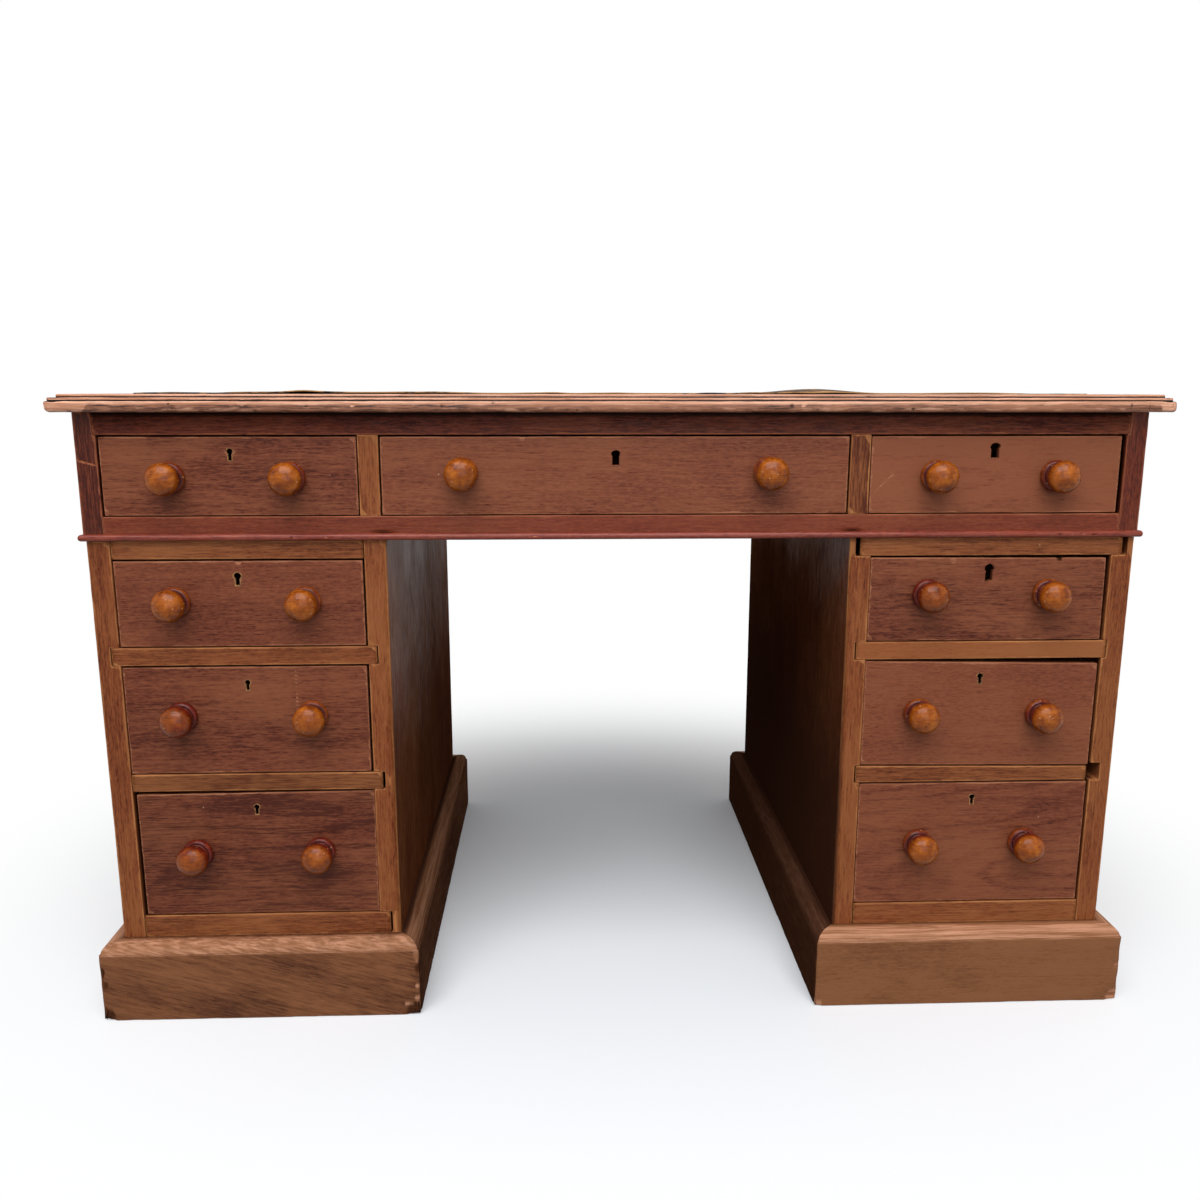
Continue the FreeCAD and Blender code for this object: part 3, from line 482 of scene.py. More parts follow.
def divide(low, high, step, hard=(), fine=()):
    """Places from low to high about step apart, with the hard ones kept and more at the fine ones."""
    lines = sorted({low, high, *[value for value in hard if low + MM < value < high - MM]})
    kept = np.array(lines)
    soft = list(np.linspace(low, high, max(2, round((high - low) / step) + 1)))
    for centre, reach in fine:
        soft = list(np.arange(centre - reach, centre + reach, CHIP_STEP)) + soft
    for value in soft:
        if low < value < high and np.abs(kept - value).min() > LEAST_STEP:
            if min(abs(value - other) for other in lines) > CHIP_STEP * 0.8:
                lines.append(value)
    return np.array(sorted(lines))


def lattice(low, high, step, cuts=(), chips=()):
    """Points and quads of a box with box-shaped cuts left out."""
    lines = []
    for axis in range(3):
        hard = [corner[axis] for cut in cuts for corner in cut]
        fine = [(place[axis], reach) for place, reach, *_ in chips]
        lines.append(divide(low[axis], high[axis], step, hard, fine))
    centres = [(line[1:] + line[:-1]) / 2 for line in lines]
    solid = np.ones([len(line) for line in centres], bool)
    for cut_low, cut_high in cuts:
        inside = [(line > cut_low[axis]) & (line < cut_high[axis]) for axis, line in enumerate(centres)]
        solid &= ~(inside[0][:, None, None] & inside[1][None, :, None] & inside[2][None, None, :])
    padded = np.pad(solid, 1)
    counts = [len(line) for line in lines]
    quads = []
    for axis in range(3):
        along, across = (axis + 1) % 3, (axis + 2) % 3
        for side in (0, 1):
            cells = np.argwhere(padded & ~np.roll(padded, 1 - 2 * side, axis)) - 1
            corners = []
            for first, second in ((0, 0), (1, 0), (1, 1), (0, 1)):
                corner = cells.copy()
                corner[:, axis] += side
                corner[:, along] += first
                corner[:, across] += second
                corners.append((corner[:, 0] * counts[1] + corner[:, 1]) * counts[2] + corner[:, 2])
            quad = np.stack(corners, 1)
            quads.append(quad if side else quad[:, ::-1])
    quads = np.concatenate(quads)
    used, index = np.unique(quads, return_inverse=True)
    place = np.unravel_index(used, counts)
    points = np.stack([lines[axis][place[axis]] for axis in range(3)], 1)
    return points, index.reshape(quads.shape)


def mesh_of(points, faces):
    bm = bmesh.new()
    made = [bm.verts.new(point) for point in points]
    for face in faces:
        bm.faces.new([made[index] for index in face])
    return bm


def points_and_faces(bm):
    return (np.array([vertex.co for vertex in bm.verts]),
            [[vertex.index for vertex in face.verts] for face in bm.faces])


def sharp_edges(bm):
    return [edge for edge in bm.edges if edge.calc_face_angle(0.0) > SHARP_TURN]


def ease(bm, edges, width, segments):
    """Rounds edges of a mesh."""
    bmesh.ops.bevel(bm, geom=edges, offset=width, segments=segments, profile=0.5, affect="EDGES",
                    clamp_overlap=True)
    bm.verts.index_update()


def soften(bm, arris):
    """Rounds the sharp edges of a mesh. Gives a tree of places along them."""
    bm.normal_update()
    sharp = sharp_edges(bm)
    marks = set()
    for edge in sharp:
        start, end = (vertex.co for vertex in edge.verts)
        count = max(1, math.ceil((end - start).length / RIM_STEP))
        marks |= {start.lerp(end, part / count).to_tuple(5) for part in range(count + 1)}
    tree = KDTree(len(marks))
    for index, place in enumerate(sorted(marks)):
        tree.insert(place, index)
    tree.balance()
    ease(bm, sharp, arris, ARRIS_SEGMENTS)
    return tree


def weather(points, normals, rims, wear, chips, seed):
    """Rubs the arrises unevenly and bites the chips out. Gives the new points, and how bare and how
    grimy each has become."""
    rough = 0.6 * noise(points, 60, seed) + 0.4 * noise(points, 190, seed + 3)
    push = wear * np.clip(rough - 0.4, 0, 1) * within(rims, WEAR_REACH)
    marks = {False: np.zeros(len(points)), True: np.zeros(len(points))}
    for place, reach, depth, dark in chips:
        away = np.linalg.norm(points - np.array(place), axis=1) / reach
        bite = np.clip(1 - away * away, 0, 1) * (0.6 + 0.8 * noise(points, 320, seed + 5))
        push = push + depth * bite
        marks[dark] += np.clip(bite * (1.0 if dark else 1.4), 0, 0.75)
    return points - normals * push[:, None], np.clip(marks[False], 0, 1), np.clip(marks[True], 0, 1)


def grain_places(points, along, seed, low, turn=0.0):
    """Each point's place in its own board, with the length of the grain first."""
    order = [along] + [axis for axis in range(3) if axis != along]
    offset = np.array([spread(seed, 0, 9), spread(seed + 40, 0, 9), spread(seed + 80, 0, 9)])
    grain = (points - np.array(low))[:, order]
    first, second = grain[:, 0].copy(), grain[:, 2].copy()
    grain[:, 0] = first * math.cos(turn) + second * math.sin(turn)
    grain[:, 2] = second * math.cos(turn) - first * math.sin(turn)
    return grain + offset


def carve(bm, cutters):
    """Takes the cutters, each given as points and faces, away from a mesh."""
    whole = bpy.data.meshes.new("whole")
    bm.to_mesh(whole)
    bm.free()
    target = bpy.data.objects.new("whole", whole)
    bpy.context.scene.collection.objects.link(target)
    tools = []
    for points, faces in cutters:
        mesh = bpy.data.meshes.new("cutter")
        mesh.from_pydata(np.asarray(points).tolist(), [], faces)
        tool = bpy.data.objects.new("cutter", mesh)
        bpy.context.scene.collection.objects.link(tool)
        change = target.modifiers.new("cut", "BOOLEAN")
        change.operation = "DIFFERENCE"
        change.solver = "EXACT"
        change.object = tool
        tools.append(tool)
    bpy.context.view_layer.update()
    result = target.evaluated_get(bpy.context.evaluated_depsgraph_get()).to_mesh()
    carved = bmesh.new()
    carved.from_mesh(result)
    for thing in [target] + tools:
        mesh = thing.data
        bpy.data.objects.remove(thing)
        bpy.data.meshes.remove(mesh)
    return carved


def board(piece, low, high, along, seed, step=STEP, arris=ARRIS, wear=WEAR, cuts=(), cutters=(), chips=(),
          tone=0.0, fade_and_highlight=0.0, dirt_and_shade=0.0, shape=None):
    """Adds one board. along is the axis of its grain, and fade, dirt and shape may be functions of
    the points."""
    low, high = np.array(low, float), np.array(high, float)
    size = high - low
    along = int(np.argmax(size)) if along is None else along
    points, quads = lattice(low, high, step, cuts, chips)
    bm = mesh_of(points, quads)
    tree = soften(bm, min(arris, size.min() * 0.2))
    if cutters:
        bm = carve(bm, cutters)
    bm.normal_update()
    bm.verts.index_update()
    points, faces = points_and_faces(bm)
    normals = np.array([vertex.normal for vertex in bm.verts])
    rims = np.array([tree.find(vertex.co)[2] for vertex in bm.verts])
    bm.free()
    grain = grain_places(points, along, seed, low)
    fade_and_highlight = fade_and_highlight(points) if callable(fade_and_highlight) else fade_and_highlight
    dirt_and_shade = dirt_and_shade(points) if callable(dirt_and_shade) else dirt_and_shade
    points, bare, darkening = weather(points, normals, rims, wear, chips, seed)
    if shape is not None:
        points = shape(points)
    piece.add(points, faces, grain, rims, tone, np.clip(fade_and_highlight + bare, 0, 1), np.clip(dirt_and_shade + darkening, 0, 1))


PLAIN_STEP, PLAIN_ARRIS, PLAIN_WEAR = 40 * MM, 0.5 * MM, 0.3 * MM
# The distance to an arris where none counts
NO_RIM = 0.05
COPY_ARRIS = 0.3 * MM
FLAT_TURN = math.radians(0.5)


def plain_board(piece, low, high, seed, tone=0.0, along=None, shape=None):
    """Adds a board that is mostly out of sight."""
    board(piece, low, high, along, seed, PLAIN_STEP, PLAIN_ARRIS, PLAIN_WEAR, tone=tone, shape=shape)


def copy_node(node, slot, seed, arris=COPY_ARRIS, shape=None, dirt_and_shade=None):
    """A piece with the shape of its node, its edges eased and its grain along each solid."""
    piece = Piece()
    for number, (places, faces) in enumerate(parts_of(node)):
        low, high = places.min(0), places.max(0)
        bm = mesh_of(places, faces)
        bmesh.ops.dissolve_limit(bm, angle_limit=FLAT_TURN, verts=bm.verts, edges=bm.edges)
        ease(bm, sharp_edges(bm), arris, 1)
        points, faces = points_and_faces(bm)
        bm.free()
        grain = grain_places(points, int(np.argmax(high - low)), seed + number, low)
        dirt_and_shade_amount = 0.0 if dirt_and_shade is None else dirt_and_shade(points)
        if shape is not None:
            points = shape(points)
        piece.add(points, faces, grain, NO_RIM, 0.5 * spread(seed + number), 0.0, dirt_and_shade_amount)
    piece.make(node, slot)


# Mouldings

def arc_rows(start, end, radius, count, rim=0.0, fade_and_highlight=0.0, dirt_and_shade=0.0):
    """Rows of a moulding's outline from start to end, (inset, height), round an outward arc."""
    start, end = np.array(start), np.array(end)
    chord = end - start
    half = np.linalg.norm(chord) / 2
    across = np.array([chord[1], -chord[0]]) / (2 * half)
    centre = (start + end) / 2 + across * math.sqrt(max(radius * radius - half * half, 0.0))
    first = math.atan2(*(start - centre)[::-1])
    last = math.atan2(*(end - centre)[::-1])
    turn = (last - first + math.pi) % (2 * math.pi) - math.pi
    angles = first + turn * np.linspace(0, 1, count)
    return [(centre[0] + radius * math.cos(a), centre[1] + radius * math.sin(a), rim, fade_and_highlight, dirt_and_shade)
            for a in angles]


MITRE_ROOM = 8 * MM
CRACK_WIDTH, CRACK_DEPTH = 0.25 * MM, 0.5 * MM
CRACK_LINES = (-0.3 * MM, 0.0, 0.3 * MM)
STRIPS = (("front", X, -1), ("back", X, 1), ("left", Y, -1), ("right", Y, 1))


def strip_points(rows, axis, side, low, high, stations):
    """The points of a mitred strip, outline by outline along its stations."""
    across = Y if axis == X else X
    start, end = low[axis], high[axis]
    edge = low[across] if side < 0 else high[across]
    points = np.zeros((len(stations), len(rows), 3))
    mitred = rows[:, 0].max() + MM
    for index, (inset, height) in enumerate(rows[:, :2]):
        points[:, index, axis] = np.interp(stations, [start, start + mitred, end - mitred, end],
                                           [start + inset, start + mitred, end - mitred, end - inset])
        points[:, index, across] = edge - side * inset
        points[:, index, Z] = height
    return points.reshape(-1, 3)


def strip_faces(points, count, width):
    """The quads and the two ends of a strip of count outlines of width points, facing outwards."""
    first = np.arange(count - 1)[:, None] * width + np.arange(width)[None, :]
    after = np.arange(count - 1)[:, None] * width + (np.arange(width)[None, :] + 1) % width
    quads = np.stack([first, first + width, after + width, after], 2).reshape(-1, 4)
    ends = [list(range(width)), [(count - 1) * width + place for place in range(width)][::-1]]
    corners = points[quads] - points.mean(0)
    volume = np.einsum("ij,ij->", corners[:, 0], np.cross(corners[:, 1] - corners[:, 3],
                                                          corners[:, 2] - corners[:, 0]))
    if volume < 0:
        return quads[:, ::-1], [face[::-1] for face in ends]
    return quads, ends


def strip(piece, rows, axis, side, low, high, seed, step, wear, corner, tone=0.0, chips=(), joints=(),
          turn=0.0):
    """Adds one mitred strip of a moulding that goes round a box. rows are its closed outline, each
    an inset, a height, a distance to an arris, how bare it is, partly as painted highlight, and how
    dark it is made, by soiling and painted shade. axis is the way the strip lies, and side the low
    or the high face across that."""
    rows = np.array(rows, float)
    start, end = low[axis], high[axis]
    fine = [(place[axis], reach) for place, reach, *_ in chips]
    fine += [(start + MITRE_ROOM, MITRE_ROOM), (end - MITRE_ROOM, MITRE_ROOM)]
    cracks = [joint + shift for joint in joints for shift in CRACK_LINES]
    stations = np.array(sorted(set(divide(start, end, step, (), fine)) | set(cracks)))
    points = strip_points(rows, axis, side, low, high, stations)
    quads, ends = strip_faces(points, len(stations), len(rows))
    normals = normals_of(points, quads.tolist())
    values = np.tile(rows[:, 2:5], (len(stations), 1))
    grain = grain_places(points, axis, seed, low, turn)
    away = np.min([np.abs(points[:, axis] - joint) for joint in joints], axis=0) if joints else None
    points, bare, darkening = weather(points, normals, values[:, 0], wear, chips, seed)
    if joints:
        crack = within(away, CRACK_WIDTH)
        points = points - normals * (crack * CRACK_DEPTH)[:, None]
        darkening = darkening + crack
    points = round_corners(points, low, high, corner, seed)
    piece.add(points, quads.tolist() + ends, grain, values[:, 0], tone, np.clip(values[:, 1] + bare, 0, 1),
              np.clip(values[:, 2] + darkening, 0, 1))


def round_corners(points, low, high, radius, seed):
    """Rounds the upright corners of a box's outline, by an amount that wanders with the height."""
    where = np.stack([points[:, Z], np.round(points[:, X]), np.round(points[:, Y])], 1)
    amount = radius * (0.7 + 0.8 * noise(where, 70, seed))[:, None]
    flat = points[:, :2]
    inner = np.clip(flat, np.array(low)[:2] + amount, np.array(high)[:2] - amount)
    away = flat - inner
    length = np.maximum(np.linalg.norm(away, axis=1), 1e-9)
    ratio = np.where(np.abs(away).min(1) > 1e-7, np.abs(away).max(1) / length, 1.0)
    result = points.copy()
    result[:, :2] = inner + away * ratio[:, None]
    return result


# Table top

TOP_LOW, TOP_HIGH = box_of("table_top")
LEATHER_LOW, LEATHER_HIGH = box_of("writing_leather")
NOSE_HEIGHT, NOSE_BOTTOM, NOSE_TOP = 12.4 * MM, 4.5 * MM, 3.0 * MM
RISE, RISE_ROUND = 3.8 * MM, 1.2 * MM
FIRST_STEP, SECOND_STEP = 4.3 * MM, 11.8 * MM
BORDER_BACK = 120 * MM
# Where the nose's front board is joined end to end
NOSE_JOINT = 0.603


def top_rows():
    """The outline of the top's edge: a rounded nose, two small steps and the leather's recess. Each
    row is an inset, a height, a distance to an arris, how bare it is, partly as painted highlight,
    and how dark it is made, mostly as painted shade."""
    floor = TOP_LOW[Z]
    nose = floor + NOSE_HEIGHT
    recess = LEATHER_LOW[X] - TOP_LOW[X] - 0.3 * MM
    rows = [(BORDER_BACK, floor, 20 * MM, 0, 0.3), (22 * MM, floor, 18 * MM, 0, 0.3)]
    rows += arc_rows((NOSE_BOTTOM, floor), (0, floor + NOSE_BOTTOM), NOSE_BOTTOM, 6, 2 * MM, 0.05)
    rows += [(0, floor + 7 * MM, 3 * MM, 0, 0)]
    # The nose's top arris is paled as a painted highlight, partly wear
    rows += arc_rows((0, nose - NOSE_TOP), (NOSE_TOP, nose), NOSE_TOP, 6, 0.4 * MM, 0.7)
    # At each step the groove at its foot is darkened as painted shade, and its round and tread are paled as
    # a painted highlight, partly wear
    for inset, level in ((FIRST_STEP, nose), (SECOND_STEP, nose + RISE)):
        above = level + RISE
        rows += [(inset - 0.9 * MM, level - 0.1 * MM, 3 * MM, 0, 0.7),
                 (inset - 0.1 * MM, level - 0.5 * MM, 3 * MM, 0, 1.0),
                 (inset, level + 1.0 * MM, 3 * MM, 0, 1.0),
                 (inset, level + 1.7 * MM, 1 * MM, 0.4, 0.0)]
        rows += arc_rows((inset, above - RISE_ROUND), (inset + RISE_ROUND, above), RISE_ROUND, 4,
                         0.3 * MM, 0.9)
        rows += [(inset + 2.6 * MM, above, 2 * MM, 0.7, 0)]
    surface = TOP_HIGH[Z]
    # The leather's recess is darkened as painted shade
    rows += [(28 * MM, surface, 9 * MM, 0.1, 0), (50 * MM, surface, 9 * MM, 0.1, 0),
             (recess - 1 * MM, surface, 1 * MM, 0.1, 0.5), (recess, surface - 0.4 * MM, 1 * MM, 0, 1),
             (recess, LEATHER_LOW[Z], 3 * MM, 0, 1), (BORDER_BACK, LEATHER_LOW[Z], 20 * MM, 0, 0.4)]
    return rows


# Marks on the front of the nose: a place along it, a height above its foot, a reach and a depth, the
# last three in millimetres, and whether it is dark
NOSE_MARKS = (
    (-0.632, 14, 14, 0.8, False), (0.632, 14, 14, 0.8, False), (-0.628, 6, 22, 0.5, False),
    (-0.6, 9, 12, 0.3, False), (-0.5, 9, 4, 1.0, True), (-0.496, 5, 3, 0.8, True),
    (-0.3505, 7, 3, 0.8, True), (-0.299, 8, 3, 0.7, False), (-0.2004, 7, 5, 0.5, True),
    (-0.1436, 11, 4, 0.6, True), (0.192, 7, 6, 0.6, True), (0.205, 8, 3, 0.2, False),
    (0.582, 8, 4, 0.5, True), (0.626, 7, 11, 0.5, False), (0.634, 4, 8, 0.6, False),
    (0.04, 12, 5, 0.5, False), (-0.05, 2, 4, 0.5, True), (0.33, 3, 5, 0.5, True),
    (0.45, 11, 4, 0.4, False), (-0.42, 12, 6, 0.5, False),
)
# How much of its reach a dark mark has
DARK_REACH = 0.6
NOSE_CHIPS = [((x, TOP_LOW[Y], TOP_LOW[Z] + height * MM), reach * MM * (DARK_REACH if dark else 1.0),
               depth * MM, dark) for x, height, reach, depth, dark in NOSE_MARKS]


def table_top():
    """Four mitred border boards round a centre board."""
    piece = Piece()
    rows = top_rows()
    for number, (name, axis, side) in enumerate(STRIPS):
        chips, joints = (NOSE_CHIPS, (NOSE_JOINT,)) if name == "front" else ((), ())
        strip(piece, rows, axis, side, TOP_LOW, TOP_HIGH, 11 + number, step=4 * MM, wear=1.1 * MM,
              corner=8 * MM, tone=0.3 * spread(number), chips=chips, joints=joints)
    inner = np.array([BORDER_BACK, BORDER_BACK, 0.0])
    plain_board(piece, TOP_LOW + inner, np.append((TOP_HIGH - inner)[:2], LEATHER_LOW[Z]), 16, along=X)
    piece.make("table_top", "top_wood")


# Places and widths along the leather's front edge where it has lifted or frayed, with the amounts
WAVE_PLACE, WAVE_WIDTH, WAVE_HEIGHT = 0.235, 0.058, 5.4 * MM
WAVE_BACK, WAVE_DEPTH = 20 * MM, 13 * MM
LIFTS = ((0.26, 0.06, 1.2), (-0.36, 0.09, 2.0), (-0.15, 0.15, 0.4), (0.1, 0.2, 0.3),
         (-0.37, 0.02, 1.8), (-0.225, 0.04, 1.6), (0.42, 0.05, 0.7), (-0.5, 0.03, 0.6))
FRAYS = ((-0.37, 0.014, 0.9), (-0.295, 0.016, 1.0), (-0.05, 0.09, 0.9), (0.27, 0.07, 0.35),
         (0.42, 0.05, 0.6))
LIFT_REACH, FRAY_REACH, PULL_REACH = 45 * MM, 9 * MM, 6 * MM
RIM_GRIME = 5 * MM
HIDE_GAP = 0.4 * MM
GRAIN_START = 5.0
HIDE_STEP = 5 * MM
HIDE_THICKNESS = 1.2 * MM
TOOLED = (16 * MM, 21 * MM)
TOOLED_DEPTH = 0.5 * MM
TOOLED_WIDTH = 1.2 * MM


def hide_lines(axis, low, high):
    """Places along one side of the leather, close together by its tooled lines and its front edge."""
    fine = []
    for inset in TOOLED:
        fine += [(low + inset, 2 * TOOLED_WIDTH), (high - inset, 2 * TOOLED_WIDTH)]
    fine += [(low + 4 * MM, 4 * MM)]
    return divide(low, high, HIDE_STEP if axis == X else HIDE_STEP * 1.5, (), fine)


def skin_faces(grid):
    """The faces of a closed skin over a grid of upper points, followed by as many lower ones."""
    quads = np.stack([grid[:-1, :-1], grid[1:, :-1], grid[1:, 1:], grid[:-1, 1:]], 2).reshape(-1, 4)
    under = quads[:, ::-1] + grid.size
    loop = np.concatenate([grid[:, 0], grid[-1, 1:], grid[-2::-1, -1], grid[0, -2:0:-1]])
    after = np.roll(loop, -1)
    sides = np.stack([loop, loop + grid.size, after + grid.size, after], 1)
    return np.concatenate([quads, under, sides]).tolist()


def writing_leather():
    """A skin with two tooled lines round it, worn through and lifted along its front edge."""
    low, high = LEATHER_LOW + HIDE_GAP, LEATHER_HIGH - HIDE_GAP
    lines = [hide_lines(axis, low[axis], high[axis]) for axis in (X, Y)]
    across, deep = np.meshgrid(*lines, indexing="ij")
    flat = np.stack([across.ravel(), deep.ravel(), np.zeros(across.size)], 1)
    x, y = flat[:, X], flat[:, Y]
    front = y - low[Y]
    rim = np.minimum.reduce([x - low[X], high[X] - x, front, high[Y] - y])

    rise = sum(amount * bell(x - place, width) for place, width, amount in LIFTS) * MM
    rise = rise + (0.7 + 1.6 * noise(flat, 38, 3) * noise(flat, 9, 8)) * MM
    wave = WAVE_HEIGHT * bell(x - WAVE_PLACE, WAVE_WIDTH) * bell(front - WAVE_BACK, WAVE_DEPTH)
    top = rise * within(front, LIFT_REACH) ** 2 + wave + 0.35 * MM * noise(flat, 24, 5)
    for inset in TOOLED:
        top = top - TOOLED_DEPTH * bell(rim - inset, TOOLED_WIDTH)

    fray = sum(amount * bell(x - place, width) for place, width, amount in FRAYS)
    ragged = noise(flat, 260, 4) * 0.6 + noise(flat, 90, 6) * 0.4
    worn = within(front, FRAY_REACH) * (1.6 * fray + 0.55) * (0.5 + ragged) + 0.6 * wave / WAVE_HEIGHT
    fade_and_highlight = np.clip(worn, 0, 1)
    dirt_and_shade = 0.2 * within(rim, RIM_GRIME)
    pull = (ragged * 3.0 + fray * 2.5 * noise(flat, 420, 9)) * MM * within(front, PULL_REACH)
    height = LEATHER_LOW[Z] + HIDE_THICKNESS + np.maximum(top, -0.3 * MM)
    upper = np.stack([x, y + pull, height], 1)
    lower = upper - np.array([0, 0, HIDE_THICKNESS])
    lower[:, Z] = np.maximum(lower[:, Z], LEATHER_LOW[Z])

    points = np.concatenate([upper, lower])
    faces = skin_faces(np.arange(across.size).reshape(across.shape))
    piece = Piece()
    piece.add(points, faces, points + GRAIN_START, np.tile(rim, 2), 0.0, np.tile(fade_and_highlight, 2), np.tile(dirt_and_shade, 2))
    piece.make("writing_leather", "leather", smooth=50.0)


# Frieze section

CASE_LOW, CASE_HIGH = box_of("frieze_carcase")
FRIEZE_RAILS = solids("frieze_rails")
PARTITIONS = solids("frieze_partitions")
RUNNERS = solids("frieze_runners")
LOWER_RAIL = FRIEZE_RAILS[0]
UPPER_RAIL = max(FRIEZE_RAILS, key=lambda box: box[1][Z])
END_INNER = LOWER_RAIL[1][X]
BACK_FRONT = RUNNERS[0][1][Y]
SLOT_ROOM = 0.6 * MM
BOLT_TRAVEL = 8 * MM
# Rails that are shorter are stops
SHORT = 0.1

HANDS = ("left", "right")
UPPER_DRAWERS = ("upper_left", "upper_centre", "upper_right")
PEDESTAL_DRAWERS = {hand: tuple(hand + row for row in ("_top", "_middle", "_bottom")) for hand in HANDS}
DRAWERS = UPPER_DRAWERS + PEDESTAL_DRAWERS["left"] + PEDESTAL_DRAWERS["right"]

# How far each drawer's corners have moved, in millimetres: top left, top right, bottom left and
# bottom right, each across and up
STILL = ((0, 0), (0, 0), (0, 0), (0, 0))
SHIFTS = {
    "upper_right": ((0, 0), (-2.5, 0), (0, 0), (-2, 0)),
    "left_bottom": ((1.2, -2.0), (0.5, 0), (1.8, 0.3), (0.5, 0)),
    "right_top": ((0, 0), (-2, -1.5), (0, 0), (-0.5, 0)),
    "right_middle": ((0, 0), (0, -5), (0, 0), (0, -3.5)),
}


def settle(name):
    """A function that moves points as the drawer's corners have moved."""
    low, high = box_of(name + "_drawer_front")
    corners = np.array(SHIFTS.get(name, STILL), float) * MM

    def moved(points):
        across = ((points[:, X] - low[X]) / (high[X] - low[X]))[:, None]
        up = ((points[:, Z] - low[Z]) / (high[Z] - low[Z]))[:, None]
        upper = corners[0] * (1 - across) + corners[1] * across
        lower = corners[2] * (1 - across) + corners[3] * across
        shift = upper * up + lower * (1 - up)
        result = points.copy()
        result[:, X] += shift[:, 0]
        result[:, Z] += shift[:, 1]
        return result

    return moved


def bolt_slot(name):
    """The room that a drawer's bolt needs in the rail above it."""
    low, high = box_of(name + "_drawer_bolt")
    low, high = settle(name)(np.array([low, high]))
    room = np.array([SLOT_ROOM, SLOT_ROOM, 0])
    low, high = low - room, high + room
    low[Z], high[Z] = high[Z] - BOLT_TRAVEL, high[Z] + BOLT_TRAVEL + 2 * SLOT_ROOM
    return low, high


# How far behind an opening's front its painted shade ends, and over what depth it thins out
GAP_SHADE_END, GAP_SHADE_THIN = 30 * MM, 15 * MM


def gap_shade(points, face, amount=0.85):
    """Painted shade on the sides of an opening just behind its front, where the gaps between the parts are
    dark.
    """
    behind = points[:, Y] - face
    return amount * np.clip(behind / MM - 1, 0, 1) * np.clip((GAP_SHADE_END - behind) / GAP_SHADE_THIN, 0, 1)


def near_front(face, depth, amount):
    """How bare a board is near its front edge."""
    return lambda points: amount * within(points[:, Y] - face, depth)


# A row of small marks down the left end
SCRATCH = [((-0.6145 + k * 0.0026, CASE_LOW[Y], 0.688 - k * 0.0007), 2.0 * MM, 0.3 * MM, False)
           for k in range(8)]
# How light the ends are, left and right
END_TONES = (-0.6, 0.1)
# Heights on the top rail over which painted shade grows, slowly and then under the top
SLOW_SHADE, SHADE_START, SHADE_GROWTH = 18 * MM, 21 * MM, 3 * MM
# A smudge's place on the lower rail, from a partition and from the rail's foot, and its size
SMUDGE_ALONG, SMUDGE_UP = 6 * MM, 9 * MM
SMUDGE_LENGTH, SMUDGE_HEIGHT = 16 * MM, 4.5 * MM
# How bare a board is at its front edge
FRONT_FADE = 0.12


def frieze_carcase():
    """The two ends and the back."""
    front, back, floor, top = CASE_LOW[Y], CASE_HIGH[Y], CASE_LOW[Z], CASE_HIGH[Z]
    rail_low, rail_high = UPPER_RAIL
    housing = ((rail_low[X], front - MM, rail_low[Z]), (rail_high[X], rail_high[Y], top + MM))

    # Light random soiling, and painted shade in the gaps on the ends' inner faces
    def darkening(points):
        inside = np.abs(np.abs(points[:, X]) - END_INNER) < MM
        return 0.25 * noise(points, 30, 2) + inside * gap_shade(points, front)

    piece = Piece()
    for number, side in enumerate((-1, 1)):
        start, end = sorted((END_INNER * side, CASE_HIGH[X] * side))
        board(piece, (start, front, floor), (end, back, top), Z, 21 + number, cuts=[housing],
              chips=() if number else SCRATCH, tone=END_TONES[number], dirt_and_shade=darkening)
    plain_board(piece, (-END_INNER, BACK_FRONT, floor), (END_INNER, back, top), 23, along=X)
    piece.make("frieze_carcase", "case_wood", "frieze_wood")


def frieze_rails():
    """The top rail, with painted shade under the top, the bottom rail and the stops."""
    front = CASE_LOW[Y]

    # Painted shade on the top rail: some all over, more towards its top, darkest under the top's overhang,
    # and in the gaps
    def shade(points):
        height = points[:, Z] - UPPER_RAIL[0][Z]
        near_top = 0.6 * np.clip((height - SHADE_START) / SHADE_GROWTH, 0, 1)
        slow = 0.12 * np.clip(height / SLOW_SHADE, 0, 1)
        return 0.22 + slow + near_top + gap_shade(points, front)

    def smudges_and_gap_shade(points):
        """Dark marks below the partitions, with painted shade in the gaps."""
        along = (np.abs(points[:, X]) - PARTITIONS[1][0][X] - SMUDGE_ALONG) / SMUDGE_LENGTH
        up = (points[:, Z] - LOWER_RAIL[0][Z] - SMUDGE_UP) / SMUDGE_HEIGHT
        return 0.75 * np.exp(-along ** 2 - up ** 2) + gap_shade(points, front)

    piece = Piece()
    slots = [bolt_slot(name) for name in UPPER_DRAWERS]
    board(piece, *UPPER_RAIL, X, 31, step=7 * MM, cuts=slots, tone=-0.5, dirt_and_shade=shade)
    board(piece, *LOWER_RAIL, X, 32, step=5 * MM, tone=0.7, dirt_and_shade=smudges_and_gap_shade)
    for number, (low, high) in enumerate(FRIEZE_RAILS):
        if (high - low)[X] < SHORT:
            plain_board(piece, low, high, 33 + number)
    piece.make("frieze_rails", "rail_wood", "frieze_wood")


def frieze_partitions():
    """The two uprights between the drawers, notched round the rails."""
    piece = Piece()
    for number, (low, high) in enumerate(PARTITIONS):
        notches = [((low[X] - MM, low[Y] - MM, rail[0][Z]), (high[X] + MM, rail[1][Y], rail[1][Z]))
                   for rail in (LOWER_RAIL, UPPER_RAIL)]
        # Painted shade in the gaps beside the drawers
        board(piece, low, high, Z, 35 + number, cuts=notches, tone=0.1 - 0.7 * number,
              fade_and_highlight=near_front(low[Y], 6 * MM, FRONT_FADE),
              dirt_and_shade=lambda points: gap_shade(points, CASE_LOW[Y]))
    piece.make("frieze_partitions", "case_wood")


